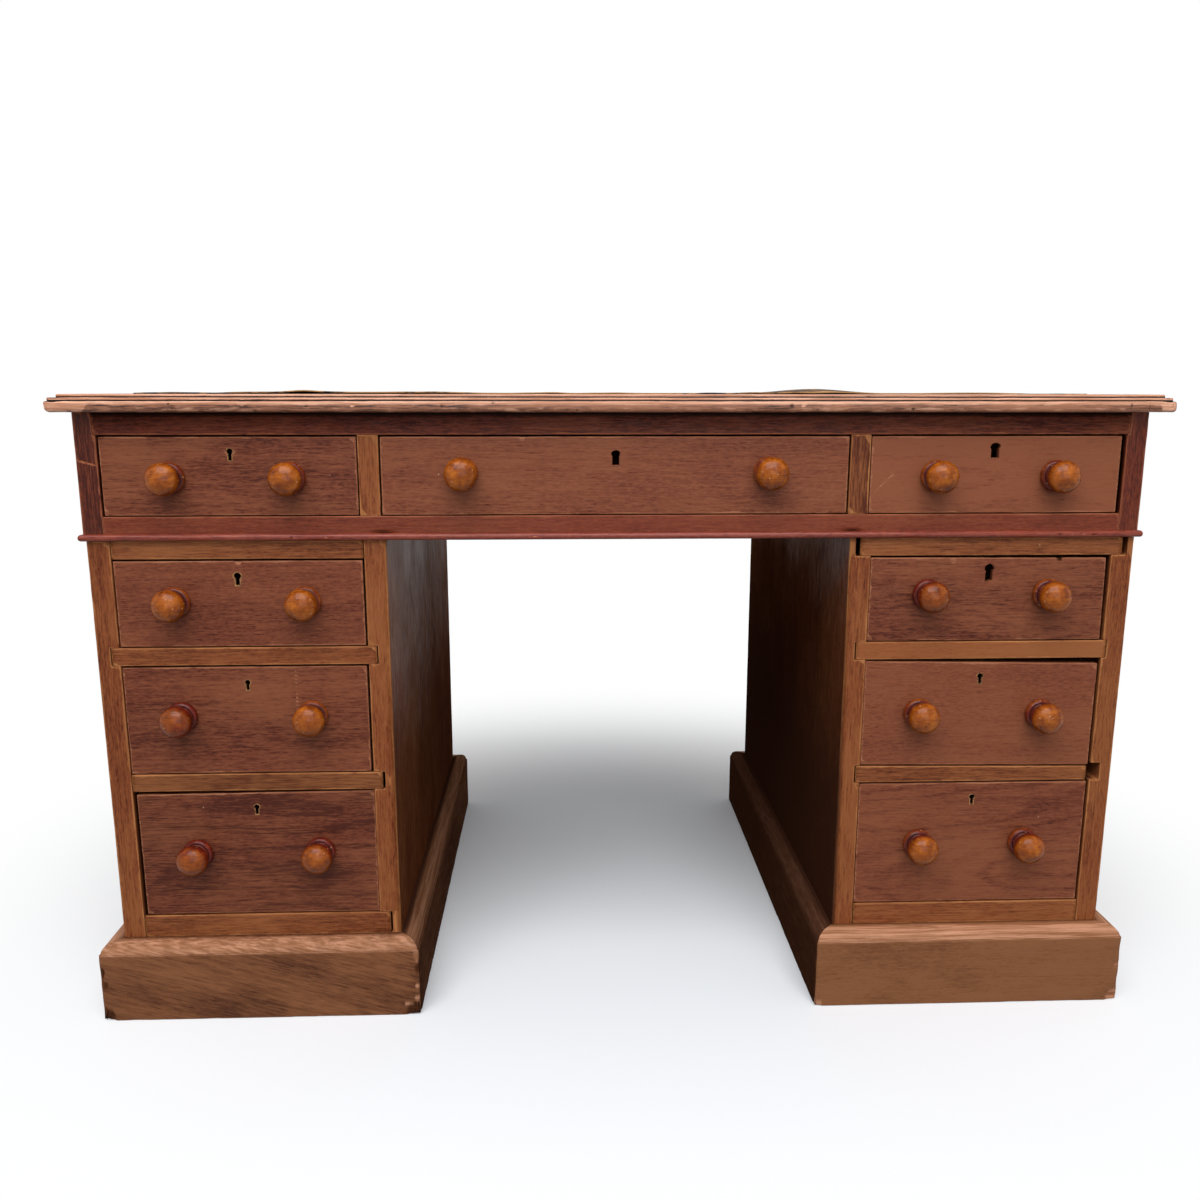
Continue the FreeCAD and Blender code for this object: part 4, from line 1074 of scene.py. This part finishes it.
def frieze_runners():
    piece = Piece()
    for number, (low, high) in enumerate(RUNNERS):
        plain_board(piece, low, high, 40 + number, 0.4 * spread(number))
    piece.make("frieze_runners", "lining_wood")


BEAD_MARKS = (-0.379, -0.375, -0.34, 0.52, 0.535, 0.548, 0.56, -0.1, 0.2)


def bead_moulding():
    """The half round bead along the foot of the frieze section."""
    low, high = box_of("bead_moulding")
    reach = CASE_LOW[X] - low[X]
    radius = (high[Z] - low[Z]) / 2
    rows = [(reach, low[Z], 2 * MM, 0, 0.5)]
    rows += arc_rows((radius, low[Z]), (0, low[Z] + radius), radius, 5, 2 * MM, 0, 0.1)
    rows += arc_rows((0, low[Z] + radius), (radius, high[Z]), radius, 5, 2 * MM)[1:]
    rows += [(reach, high[Z], 2 * MM, 0, 0.6)]
    chips = [((x, low[Y], low[Z] + radius), 1.8 * MM, 0.5 * MM, number % 3 == 0)
             for number, x in enumerate(BEAD_MARKS)]
    piece = Piece()
    for number, (name, axis, side) in enumerate(STRIPS):
        strip(piece, rows, axis, side, low, high, 51 + number, step=6 * MM, wear=0.5 * MM,
              corner=2 * MM, chips=chips if name == "front" else ())
    piece.make("bead_moulding", "bead_wood")


# Pedestals

# How far the ends of each front rail run into the sides, and how deep the housing there is, in
# millimetres: left and right, for the rails from the top down
RAIL_ENDS = {
    "left": (((0, 0), (0, 0)), ((10, 10.5), (11, 11.5)), ((0, 0), (11.5, 13.5)), ((0, 0), (14, 15.5))),
    "right": (((14, 18.5), (13, 19)), ((13, 13.5), (5, 5.5)), ((6, 6.5), (-4.5, 12)), ((0, 0), (0, 0))),
}
RAIL_TONES = {"left": (-0.2, 0.45, -3.0, -0.2), "right": (-0.1, 1.3, -0.1, 0.1)}
RAIL_GAP = np.array([0.25, 0.0, 0.2]) * MM
SEATED_GAP = np.array([0.25, 0.0, -0.7]) * MM
SAG_GAP = 0.3 * MM
# The rail that has sunk under its drawer, counted from the top
SUNK_RAIL = 2
# How much painted shade the side by the sitter's knees gets, below and above, and the heights and
# depths over which that changes
KNEE_PAINTED_SHADE = {"left": (0.6, 0.33), "right": (0.95, 0.42)}
KNEE_LOW, KNEE_RISE, KNEE_FRONT, KNEE_DEPTH = 0.25, 0.33, -0.3, 0.4
# What is nearer to a side's outer face is on it, and what is further is inside
OUTER_REACH, INNER_REACH = 3 * MM, 20 * MM
END_GRIME = 2.5 * MM


def under_sag(middle):
    """A function that lowers what carries the sagging drawer, above a height."""
    sag = settle("right_middle")

    def moved(points):
        result = points.copy()
        upper = points[:, Z] > middle
        result[upper, Z] += (sag(points) - points)[upper, Z] - SAG_GAP
        return result

    return moved


def pedestal_rails(hand, inner, front, seed):
    """A pedestal's front rails, with its runners, kickers and stops. Gives the housings that the
    front rails need in the left and the right side."""
    rails = solids(hand + "_pedestal_rails")
    across = [(high - low)[X] > SHORT and low[Y] < front + MM for low, high in rails]
    fronts = [box for box, long in zip(rails, across) if long][::-1]
    others = [box for box, long in zip(rails, across) if not long]
    names = PEDESTAL_DRAWERS[hand]
    sunk = fronts[SUNK_RAIL][1][Z]
    cuts = ([], [])
    piece = Piece()
    for number, (low, high) in enumerate(fronts):
        (left_lap, left_notch), (right_lap, right_notch) = RAIL_ENDS[hand][number]
        start, end = inner[0] - left_lap * MM, inner[1] + right_lap * MM
        for index, notch in ((0, -left_notch), (1, right_notch)):
            if notch:
                reach = sorted((inner[index], inner[index] + notch * MM))
                cuts[index].append(((reach[0], low[Y] - MM, low[Z]), (reach[1], high[Y] + MM, high[Z])))
        slots = [bolt_slot(name) for name in names[number:number + 1]]
        slots = [slot for slot in slots if slot[1][Z] > low[Z]]

        # Dark joints at the rail's ends, and painted shade in the gaps
        def darkening(points, start=start, end=end):
            away = np.minimum(points[:, X] - start, end - points[:, X])
            return 0.9 * within(away, END_GRIME) + gap_shade(points, front)

        gap_below = RAIL_GAP if number < len(names) else SEATED_GAP
        sinks = hand == "right" and number == SUNK_RAIL
        board(piece, np.array([start, low[Y], low[Z]]) + gap_below,
              np.array([end, high[Y], high[Z]]) - RAIL_GAP, X, seed + number, step=7 * MM, cuts=slots,
              tone=RAIL_TONES[hand][number], dirt_and_shade=darkening,
              shape=under_sag((low[Z] + high[Z]) / 2) if sinks else None)
    for number, (low, high) in enumerate(others):
        carries = hand == "right" and min(abs(high[Z] - sunk), abs(low[Z] - sunk)) < MM
        plain_board(piece, low, high, seed + 5 + number, 0.3 * spread(number),
                    shape=under_sag(sunk - 2 * MM) if carries else None)
    piece.make(hand + "_pedestal_rails", "rail_wood")
    return cuts


def side_grime_and_shade(hand, face, by_knees, front):
    """A function that tells how dark a pedestal's side is made: light random soiling, painted shade in
    the gaps, and most of all painted shade beside the sitter's knees.
    """
    below, above = KNEE_PAINTED_SHADE[hand]

    def darkening(points):
        away = np.abs(points[:, X] - face)
        shade = 0.08 * noise(points, 20, 3) + (away > INNER_REACH) * gap_shade(points, front)
        # Painted shade beside the sitter's knees, less towards the top and more towards the back
        if by_knees:
            height = np.clip((points[:, Z] - KNEE_LOW) / KNEE_RISE, 0, 1)
            back = 0.85 + 0.15 * np.clip((points[:, Y] - KNEE_FRONT) / KNEE_DEPTH, 0, 1)
            shade = shade + (away < OUTER_REACH) * (below + (above - below) * height) * back
        return shade

    return darkening


def pedestal(hand, seed):
    """One pedestal's rails, sides and boards."""
    sides = sorted(solids(hand + "_pedestal_sides"), key=lambda box: box[0][X])
    front = sides[0][0][Y]
    cuts = pedestal_rails(hand, (sides[0][1][X], sides[1][0][X]), front, seed)

    piece = Piece()
    for index, (low, high) in enumerate(sides):
        by_knees = (index == 1) == (hand == "left")
        face = high[X] if index == 1 else low[X]
        board(piece, low, high, Z, seed + 30 + index, cuts=cuts[index], tone=0.1 * (index * 2 - 1),
              fade_and_highlight=near_front(low[Y], 5 * MM, FRONT_FADE), dirt_and_shade=side_grime_and_shade(hand, face, by_knees, front))
    piece.make(hand + "_pedestal_sides", "case_wood")

    boards = Piece()
    for number, (low, high) in enumerate(solids(hand + "_pedestal_boards")):
        plain_board(boards, low, high, seed + 35 + number)
    boards.make(hand + "_pedestal_boards", "lining_wood")


PLINTH_FLAT, PLINTH_DROP, PLINTH_ROUND, PLINTH_QUIRK = 8 * MM, 12 * MM, 14 * MM, 1.5 * MM
# Marks on the plinths: a place along the front and a height in millimetres, a reach, a depth, and
# whether it is dark
PLINTH_CHIPS = {
    "left": ((-634, 6, 13, 3.5, True), (-638, 63, 8, 4.0, True), (-632, 50, 5, 0.8, True),
             (-254, 6, 14, 2.6, True), (-249, 79, 8, 1.3, False), (-250, 62, 7, 1.3, True),
             (-249, 38, 6, 1.2, False), (-262, 14, 7, 0.7, False), (-249, 20, 8, 1.0, False)),
    "right": ((249, 4, 11, 2.0, False), (634, 6, 12, 2.2, False), (402, 27, 1.6, 0.2, False),
              (380, 34, 1.2, 0.2, False), (636, 50, 7, 0.8, False)),
}
# Each plinth's first seed, how light it is, the angle of its front's grain, how pale its top is, partly
# wear and partly painted highlight, and how much painted shade it has by the knees
PLINTH_LOOKS = {"left": (100, -0.3, -16, 0.62, 0.55), "right": (110, 1.2, 0, 0.7, 0.8)}


def plinth(hand):
    """Four mitred boards round the foot of a pedestal."""
    low, high = box_of(hand + "_plinth")
    sides = solids(hand + "_pedestal_sides")
    reach = min(box[0][X] for box in sides) - low[X]
    shoulder = high[Z] - PLINTH_DROP
    seed, tone, angle, bare, darkening = PLINTH_LOOKS[hand]
    rows = [(reach, low[Z], 12 * MM, 0, 0.5), (1.2 * MM, low[Z], 0, 0.1, 0.3),
            (0, low[Z] + 1.5 * MM, 1 * MM, 0.1, 0.2)]
    rows += [(0, height, 20 * MM, 0, 0) for height in np.linspace(low[Z] + 6 * MM, shoulder - 6 * MM, 10)]
    # The arris under the round is paled and the quirk darkened, as painted highlight and shade
    rows += [(0, shoulder - 0.7 * MM, 0.5 * MM, 0.5, 0), (0.6 * MM, shoulder, 0.3 * MM, 0.3, 0.1),
             (PLINTH_QUIRK * 0.8, shoulder - 0.4 * MM, 3 * MM, 0, 1.0)]
    # The round and the top are paled, partly wear and partly painted highlight
    rows += arc_rows((PLINTH_QUIRK, shoulder), (reach - PLINTH_FLAT, high[Z]), PLINTH_ROUND, 8,
                     3 * MM, bare)
    # Painted shade where the top meets the pedestal's side
    rows += [(reach - 1.2 * MM, high[Z], 2 * MM, 0.2, 0.5), (reach, high[Z], 2 * MM, 0, 1.0)]
    chips = [((x * MM, low[Y], z * MM), size * MM, depth * MM, dark)
             for x, z, size, depth, dark in PLINTH_CHIPS[hand]]
    piece = Piece()
    for number, (name, axis, side) in enumerate(STRIPS):
        turn = math.radians(angle) if name == "front" else 0.0
        by_knees = name == ("right" if hand == "left" else "left")
        # Painted shade on the face by the sitter's knees
        shaded = np.array(rows) + np.array([0, 0, 0, 0, darkening * by_knees])
        strip(piece, shaded, axis, side, low, high, seed + number, step=6 * MM, wear=1.4 * MM,
              corner=3.5 * MM, tone=tone, chips=chips, turn=turn)
    piece.make(hand + "_plinth", "plinth_wood")


# Knobs

# A knob's profile as its distance from the drawer and its radius, in millimetres
KNOB_PROFILE = (
    (0.0, 16.9), (0.4, 17.7), (1.8, 18.4), (3.9, 18.7), (6.0, 18.2), (7.6, 16.8), (8.3, 15.3), (8.5, 14.4),
    (8.9, 14.2), (9.3, 14.7), (9.8, 14.6), (10.6, 13.4), (11.6, 12.5), (12.8, 12.3), (13.7, 12.9),
    (14.1, 13.3), (14.3, 14.2), (15.4, 16.1), (17.2, 17.7), (19.6, 18.7), (22.4, 19.0), (25.4, 18.8),
    (28.3, 17.9), (31.0, 16.2), (33.3, 13.7), (35.2, 10.7), (36.6, 7.2), (37.5, 3.8), (38.0, 0.0))
# How dark each stretch of it is made as painted shade, at distances from the drawer
KNOB_SHADE = ((0, 0.9), (1.5, 0.75), (4, 0.4), (7, 0.6), (8.6, 1.0), (11, 0.7), (14.2, 1.0), (18, 0.9),
              (21, 0.75), (25, 0.4), (29, 0.12), (38, 0.0))
# The grooves' places and widths, in millimetres, painted near black as shade
KNOB_GROOVES = ((8.7, 0.5), (14.0, 0.5))
KNOB_SPOKES = 56
STEM_RADIUS, FOOT_RADIUS, STEM_CORE, TIP_RADIUS = 6.5 * MM, 15 * MM, 0.5 * MM, 0.4 * MM
STEM_PAST = 0.2 * MM
# The middle of the knob's head, from the drawer
HEAD_MIDDLE = 22 * MM
PROFILE_PARTS = 3
# How light each knob is, left and right
KNOB_TONES = {
    "upper_left": (0.0, 0.1), "upper_centre": (0.35, 0.25), "upper_right": (0.3, 0.0),
    "left_top": (0.15, 0.35), "left_middle": (-0.7, 0.3), "left_bottom": (-0.5, -0.4),
    "right_top": (-0.6, 0.25), "right_middle": (0.2, 0.1), "right_bottom": (0.0, -0.05),
}


def smooth_line(points, parts):
    """A curve through points, with more points between them."""
    points = np.array(points, float)
    padded = np.concatenate([2 * points[:1] - points[1:2], points, 2 * points[-1:] - points[-2:-1]])
    line = []
    for index in range(len(points) - 1):
        before, first, second, after = padded[index:index + 4]
        for t in np.arange(parts) / parts:
            line.append(0.5 * (2 * first + (second - before) * t
                               + (2 * before - 5 * first + 4 * second - after) * t ** 2
                               + (3 * first - before - 3 * second + after) * t ** 3))
    line.append(points[-1])
    return np.array(line)


def knob_outline(face, low, high):
    """A knob's distances from the drawer and its radii, from its stem's end to its tip."""
    profile = smooth_line(KNOB_PROFILE, PROFILE_PARTS) * MM
    profile[:, 0] *= (face - low[Y]) / profile[-1, 0]
    profile[:, 1] = np.minimum(profile[:, 1], (high[X] - low[X]) / 2)
    end = face - high[Y]
    stem = [(end, STEM_CORE), (end, STEM_RADIUS), (-STEM_PAST, STEM_RADIUS), (0.0, FOOT_RADIUS)]
    outline = np.concatenate([np.array(stem), profile[:-1], [(profile[-1, 0], TIP_RADIUS)]])
    return outline[:, 0], outline[:, 1]


def knob(piece, low, high, face, seed, tone, shape):
    """One turned knob with its stem, from its tip at low to its stem's end at high."""
    centre = (low + high) / 2
    away, radius = knob_outline(face, low, high)
    angles = np.arange(KNOB_SPOKES) / KNOB_SPOKES * 2 * math.pi
    points = np.zeros((len(away), KNOB_SPOKES, 3))
    points[:, :, X] = centre[X] + radius[:, None] * np.cos(angles)
    points[:, :, Z] = centre[Z] + radius[:, None] * np.sin(angles)
    points[:, :, Y] = face - away[:, None]
    points = points.reshape(-1, 3)
    grid = np.arange(len(points)).reshape(len(away), KNOB_SPOKES)
    turned = np.roll(grid, -1, 1)
    faces = np.stack([grid[:-1], turned[:-1], turned[1:], grid[1:]], 2).reshape(-1, 4).tolist()
    faces += [grid[0][::-1].tolist(), grid[-1].tolist()]

    away = np.repeat(away, KNOB_SPOKES) / MM
    out = points - np.array([centre[X], face - HEAD_MIDDLE, centre[Z]])
    out /= np.linalg.norm(out, axis=1, keepdims=True)
    dent = 0.35 * MM * (noise(points, 70, seed) - 0.5) + 0.16 * MM * (noise(points, 260, seed + 1) - 0.7)
    dent = np.minimum(dent, 0.0) * (away > 0.5)
    grain = (points - centre)[:, [Y, X, Z]] + np.array([spread(seed, 0, 7), spread(seed + 9, 0, 7), 0])
    shade = np.interp(away, *np.array(KNOB_SHADE).T)
    grooves = np.max([bell(away - place, width) for place, width in KNOB_GROOVES], axis=0)
    # The grooves' painted shade is carried as rim, and the painted shade along the knob as each point's
    # darkness
    piece.add(shape(points + out * dent[:, None]), faces, grain, grooves, tone, 0.0, shade)


def knobs(name):
    """A drawer's two knobs."""
    piece = Piece()
    front_low, _ = box_of(name + "_drawer_front")
    pair = sorted(solids(name + "_drawer_knobs"), key=lambda box: box[0][X])
    for number, (low, high) in enumerate(pair):
        knob(piece, low, high, front_low[Y], DRAWERS.index(name) * 7 + number * 3 + 5,
             KNOB_TONES[name][number], settle(name))
    piece.make(name + "_drawer_knobs", "knob_wood", smooth=35.0)


# Drawers

KEY_DROP = 21 * MM
KEY_RADIUS, KEY_SLOT, KEY_LENGTH = 2.8 * MM, 3.0 * MM, 8.5 * MM
# Each keyhole: its shift along and up in millimetres, and how much wider and taller it has worn
KEYS = {
    "upper_left": (1.6, 4.3, 1.2, 1.2), "upper_centre": (-0.8, 1.3, 1.7, 1.38),
    "upper_right": (-2.0, 8.8, 2.1, 1.42), "left_top": (-1.9, 3.3, 1.5, 1.3),
    "left_middle": (1.9, 1.6, 1.1, 1.1), "left_bottom": (-0.2, 2.6, 1.15, 1.1),
    "right_top": (1.2, 8.2, 1.95, 1.75), "right_middle": (-1.2, 3.6, 1.25, 1.12),
    "right_bottom": (-0.5, 2.1, 1.2, 1.1),
}
KEY_DEPTH = 14 * MM
RIM_WIDTH = 1.1 * MM
SOCKET_ROOM = 0.08 * MM
LOCK_CASE_HALF, LOCK_CASE_DEPTH, LOCK_PLATE = 26 * MM, 9 * MM, 2 * MM
# How far a cutter runs past what it cuts
PAST = 2 * MM
LOCK_ARRIS = 0.15 * MM
FRONT_STEP, FRONT_ARRIS, FRONT_WEAR = 8 * MM, 1.1 * MM, 1.0 * MM
# How far below its round part the middle of a keyhole lies, how far round that the wood is worn and
# over what it fades, and how far round it the wood's inside is painted black as shade
KEY_MIDDLE, KEY_WORN, KEY_FADE, KEY_DARK = 2 * MM, 4 * MM, 6 * MM, 14 * MM
# The depths between which that painted black shade lies
DARK_START, DARK_END = 0.8 * MM, 16 * MM
EDGE_REACH = 0.5 * MM
# What lies this near the front's face belongs to a keyhole's rim, or is painted dark as the shade inside
# the hole
RIM_DEPTH, DARK_DEPTH = 5 * MM, 18.5 * MM
RIMMED = ("upper_left", "left_top", "left_middle", "left_bottom", "right_middle", "right_bottom")
# How light each front is, how worn the wood round its keyhole is, and whether its figure flows
FRONT_LOOKS = {
    "upper_left": (-0.05, 0.6, False), "upper_centre": (0.35, 0.35, False),
    "upper_right": (1.7, 0.1, True), "left_top": (0.3, 0.6, False), "left_middle": (0.0, 0.1, False),
    "left_bottom": (-0.45, 0.1, True), "right_top": (-0.1, 0.0, False),
    "right_middle": (0.75, 0.1, False), "right_bottom": (0.6, 0.1, True),
}
# Marks on the fronts, at shares of their width and height: a reach and a depth in millimetres, and
# whether it is dark
FRONT_MARKS = {
    "left_middle": [(0.705, 0.95 - k * 0.035, 1.6, 0.25, False) for k in range(12)],
    "right_top": [(0.35, 0.97, 5, 0.5, False), (0.80, 0.995, 5, 0.9, True)],
    "upper_right": [(0.02 + k * 0.006, 0.28 + k * 0.02, 1.8, 0.2, False) for k in range(12)],
    "left_top": [(0.5, 0.995, 5, 0.5, False)],
    "upper_centre": [(0.3, 0.993, 5, 0.5, False), (0.85, 0.01, 3, 0.3, False)],
}


def key_place(name):
    """The middle of a keyhole's round part as the model has it and as it is seen, and its growth."""
    top = box_of(name + "_drawer_front")[1][Z]
    low, high = box_of(name + "_drawer_bolt")
    along, up, wide, tall = KEYS[name]
    centre = np.array([(low[X] + high[X]) / 2, 0.0, top - KEY_DROP])
    return centre, centre + np.array([along * MM, 0.0, up * MM]), np.array([wide, 1.0, tall])


def keyhole_outline(name, seed):
    """A keyhole's outline: most of a circle over a slot, ragged and wide where it has no rim."""
    _, centre, growth = key_place(name)
    rimmed = name in RIMMED
    ragged = 0.0 if rimmed else 0.25
    grow = RIM_WIDTH if rimmed else 0.0
    half = KEY_SLOT / 2 * (1 + 1.8 * ragged) + grow
    radius = KEY_RADIUS + grow
    open_angle = math.asin(half / radius)
    angles = np.linspace(open_angle, 2 * math.pi - open_angle, 25) - math.pi / 2
    outline = [(radius * math.cos(angle), radius * math.sin(angle)) for angle in angles]
    outline = np.array(outline + [(-half, -KEY_LENGTH - grow), (half, -KEY_LENGTH - grow)])
    wobble = 1 + ragged * (noise(np.c_[outline, np.zeros(len(outline))], 900, seed) - 0.2)
    return outline * wobble[:, None] * growth[[X, Z]] + centre[[X, Z]]


def prism(outline, near, far):
    """The points and faces of a bar along Y with an outline in X and Z."""
    count = len(outline)
    points = [(x, y, z) for y in (near, far) for x, z in outline]
    faces = [list(range(count)), [index + count for index in range(count)][::-1]]
    for index in range(count):
        after = (index + 1) % count
        faces.append([index, index + count, after + count, after])
    return points, faces


def block(low, high):
    """The points and faces of a box."""
    outline = [(low[X], low[Z]), (high[X], low[Z]), (high[X], high[Z]), (low[X], high[Z])]
    return prism(outline, low[Y], high[Y])


def lock_room(name):
    """The room that a lock takes: its case and its top plate."""
    low, high = next((low, high) for low, high in solids(name + "_drawer_lock")
                     if (high - low)[X] > LOCK_CASE_HALF)
    middle = (low[X] + high[X]) / 2
    return [block((low[X], low[Y], high[Z] - LOCK_PLATE), high + np.array([0, PAST, PAST])),
            block((middle - LOCK_CASE_HALF, high[Y] - LOCK_CASE_DEPTH, low[Z]),
                  (middle + LOCK_CASE_HALF, high[Y] + PAST, high[Z] + MM))]


def front_cutters(name, number):
    """What is cut out of a drawer's front: room for its sides, its key, its bolt and its lock."""
    low, high = box_of(name + "_drawer_front")
    bolt_low, bolt_high = box_of(name + "_drawer_bolt")
    middle = np.array([(low[X] + high[X]) / 2, 0.0, 0.0])
    room = np.array([1 + 2 * SOCKET_ROOM / (high[X] - low[X]), 1.0, 1.0])
    tails = [((points - middle) * room + middle, faces)
             for points, faces in parts_of(name + "_drawer_box") if points[:, Y].min() < high[Y] - MM]
    hole = prism(keyhole_outline(name, number), low[Y] - MM, low[Y] + KEY_DEPTH)
    gap = np.array([SLOT_ROOM, SLOT_ROOM, 0])
    slot = block(bolt_low - gap, bolt_high + gap + np.array([0, 0, BOLT_TRAVEL]))
    return tails + [hole, slot] + lock_room(name)


def drawer_front(name, number):
    """One drawer's front, worn round its keyhole, painted black as shade inside it, with painted shade
    on its edges in the gaps and light random soiling.
    """
    low, high = box_of(name + "_drawer_front")
    tone, worn, flowing = FRONT_LOOKS[name]
    key_x, _, key_z = key_place(name)[1]

    def bare(points):
        away = np.hypot(points[:, X] - key_x, points[:, Z] - key_z + KEY_MIDDLE)
        ends = np.minimum(points[:, X] - low[X], high[X] - points[:, X]) / (high[X] - low[X])
        return worn * within(away - KEY_WORN, KEY_FADE) + 0.12 * within(ends, 0.25)

    # Painted shade: black inside the keyhole and dark on the edges in the gaps, with light random soiling
    def darkening(points):
        away = np.hypot(points[:, X] - key_x, (points[:, Z] - key_z + KEY_MIDDLE) * 0.8)
        behind = points[:, Y] - low[Y]
        inside = (away < KEY_DARK) & (behind > DARK_START) & (behind < DARK_END)
        edge = np.minimum.reduce([points[:, X] - low[X], high[X] - points[:, X],
                                  points[:, Z] - low[Z], high[Z] - points[:, Z]]) < EDGE_REACH
        return inside * 1.0 + edge * gap_shade(points, low[Y], 0.5) + 0.1 * noise(points, 25, number)

    size = high - low
    chips = [((low[X] + across * size[X], low[Y], low[Z] + up * size[Z]), reach * MM, depth * MM, dark)
             for across, up, reach, depth, dark in FRONT_MARKS.get(name, ())]
    piece = Piece()
    board(piece, low, high, X, 120 + number, FRONT_STEP, FRONT_ARRIS, FRONT_WEAR,
          cutters=front_cutters(name, number), chips=chips, tone=tone, fade_and_highlight=bare, dirt_and_shade=darkening,
          shape=settle(name))
    piece.make(name + "_drawer_front", "front_wood", "figured_wood" if flowing else None)


def settled_lock(name):
    """A function that moves the keyhole's rim to where it is seen, and the lock with its drawer."""
    face = box_of(name + "_drawer_front")[0][Y]
    centre, seen, growth = key_place(name)

    def moved(points):
        rim = (points[:, Y] < face + RIM_DEPTH)[:, None]
        return settle(name)(np.where(rim, (points - centre) * growth + seen, points))

    return moved


def lock_shade_and_grime(name):
    """A function that tells how dark a lock is made: painted black as shade behind the keyhole, and dulled
    by soiling on its rim and a little elsewhere.
    """
    low, high = box_of(name + "_drawer_front")

    def darkening(points):
        rim = points[:, Y] < low[Y] + RIM_DEPTH
        front = (points[:, Y] < low[Y] + DARK_DEPTH) & (points[:, Z] < high[Z] - LOCK_PLATE / 2)
        return np.where(rim, 0.3, np.where(front, 1.0, 0.2))

    return darkening


def drawer(name, number):
    """A drawer with its box, lock, bolt and knobs."""
    drawer_front(name, number)
    copy_node(name + "_drawer_box", "lining_wood", 140 + number * 5, shape=settle(name))
    copy_node(name + "_drawer_lock", "brass", 200 + number, LOCK_ARRIS, settled_lock(name),
              lock_shade_and_grime(name))
    copy_node(name + "_drawer_bolt", "bolt_brass", 220 + number, shape=settle(name))
    knobs(name)


# Floor and light

FLOOR_SIZE = 60.0
# How far from the desk the floor begins and ends to turn into the white backdrop
WHITE_REACH = (0.35, 1.15)
BACKDROP_WHITE = (1.0, 1.0, 1.0, 1.0)
FLOOR_GREY = srgb(120, 118, 116)
BLACK = (0.0, 0.0, 0.0, 1.0)
SKY = (0.93, 0.96, 1.0, 1.0)
AMBIENT = 0.38
# Each lamp's place, what it faces, its size and its power
LAMPS = {
    "overhead": ((-0.3, -2.2, 3.4), (0, 0, 0.5), (3.5, 2.5), 130),
    "front": ((0.4, -4.0, 1.4), (0, 0, 0.4), (3.0, 2.0), 28),
}


def seen_directly(f):
    """1 for rays from the camera, or by way of gloss or glass, and 0 for the rest."""
    path = f.node("LightPath").outputs
    direct = f.maths("MAXIMUM", path["Is Camera Ray"], path["Is Glossy Ray"])
    return f.maths("MAXIMUM", direct, path["Is Transmission Ray"])


def floor():
    """A plain pale floor that keeps the desk's shadow."""
    half = FLOOR_SIZE / 2
    mesh = bpy.data.meshes.new("floor")
    corners = [(-half, -half, 0), (half, -half, 0), (half, half, 0), (-half, half, 0)]
    mesh.from_pydata(corners, [], [(0, 1, 2, 3)])
    f = Finish("floor")
    seen = seen_directly(f)
    place = f.node("NewGeometry").outputs["Position"]
    away = f.node("VectorMath", {0: place}, operation="LENGTH").outputs[1]
    far = f.times(seen, f.span(away, *WHITE_REACH))
    f.surface(Base_Color=f.mix(far, f.mix(seen, FLOOR_GREY, BACKDROP_WHITE), BLACK),
              Roughness=1.0, Specular_IOR_Level=0.0, Emission_Color=BACKDROP_WHITE, Emission_Strength=far)
    mesh.materials.append(f.material)
    made = bpy.data.objects.new("floor", mesh)
    bpy.context.scene.collection.objects.link(made)


class World(Finish):
    """The world's own nodes."""

    def __init__(self):
        world = bpy.data.worlds.new("studio")
        world.use_nodes = True
        bpy.context.scene.world = world
        self.nodes = world.node_tree.nodes
        self.links = world.node_tree.links
        self.shader = self.nodes["Background"]


def lamp(name, place, target, size, power):
    """A large soft lamp that faces a point."""
    data = bpy.data.lights.new(name, "AREA")
    data.shape = "RECTANGLE"
    data.size, data.size_y = size
    data.energy = power
    data.color = SKY[:3]
    made = bpy.data.objects.new(name, data)
    made.location = place
    made.rotation_euler = (Vector(target) - Vector(place)).to_track_quat("-Z", "Y").to_euler()
    made.visible_camera = False
    bpy.context.scene.collection.objects.link(made)


def light():
    """A pale world, a big lamp overhead and a weaker one from the front."""
    w = World()
    w.surface(Color=w.mix(seen_directly(w), SKY, BACKDROP_WHITE),
              Strength=w.span(seen_directly(w), 0.0, 1.0, AMBIENT, 1.0, "LINEAR"))
    for name, facts in LAMPS.items():
        lamp(name, *facts)
    bpy.context.scene.view_settings.view_transform = "Standard"


table_top()
writing_leather()
frieze_carcase()
frieze_rails()
frieze_partitions()
frieze_runners()
bead_moulding()
for side_name, first_seed in zip(HANDS, (60, 80)):
    pedestal(side_name, first_seed)
    plinth(side_name)
for place, drawer_name in enumerate(DRAWERS):
    drawer(drawer_name, place)
floor()
light()
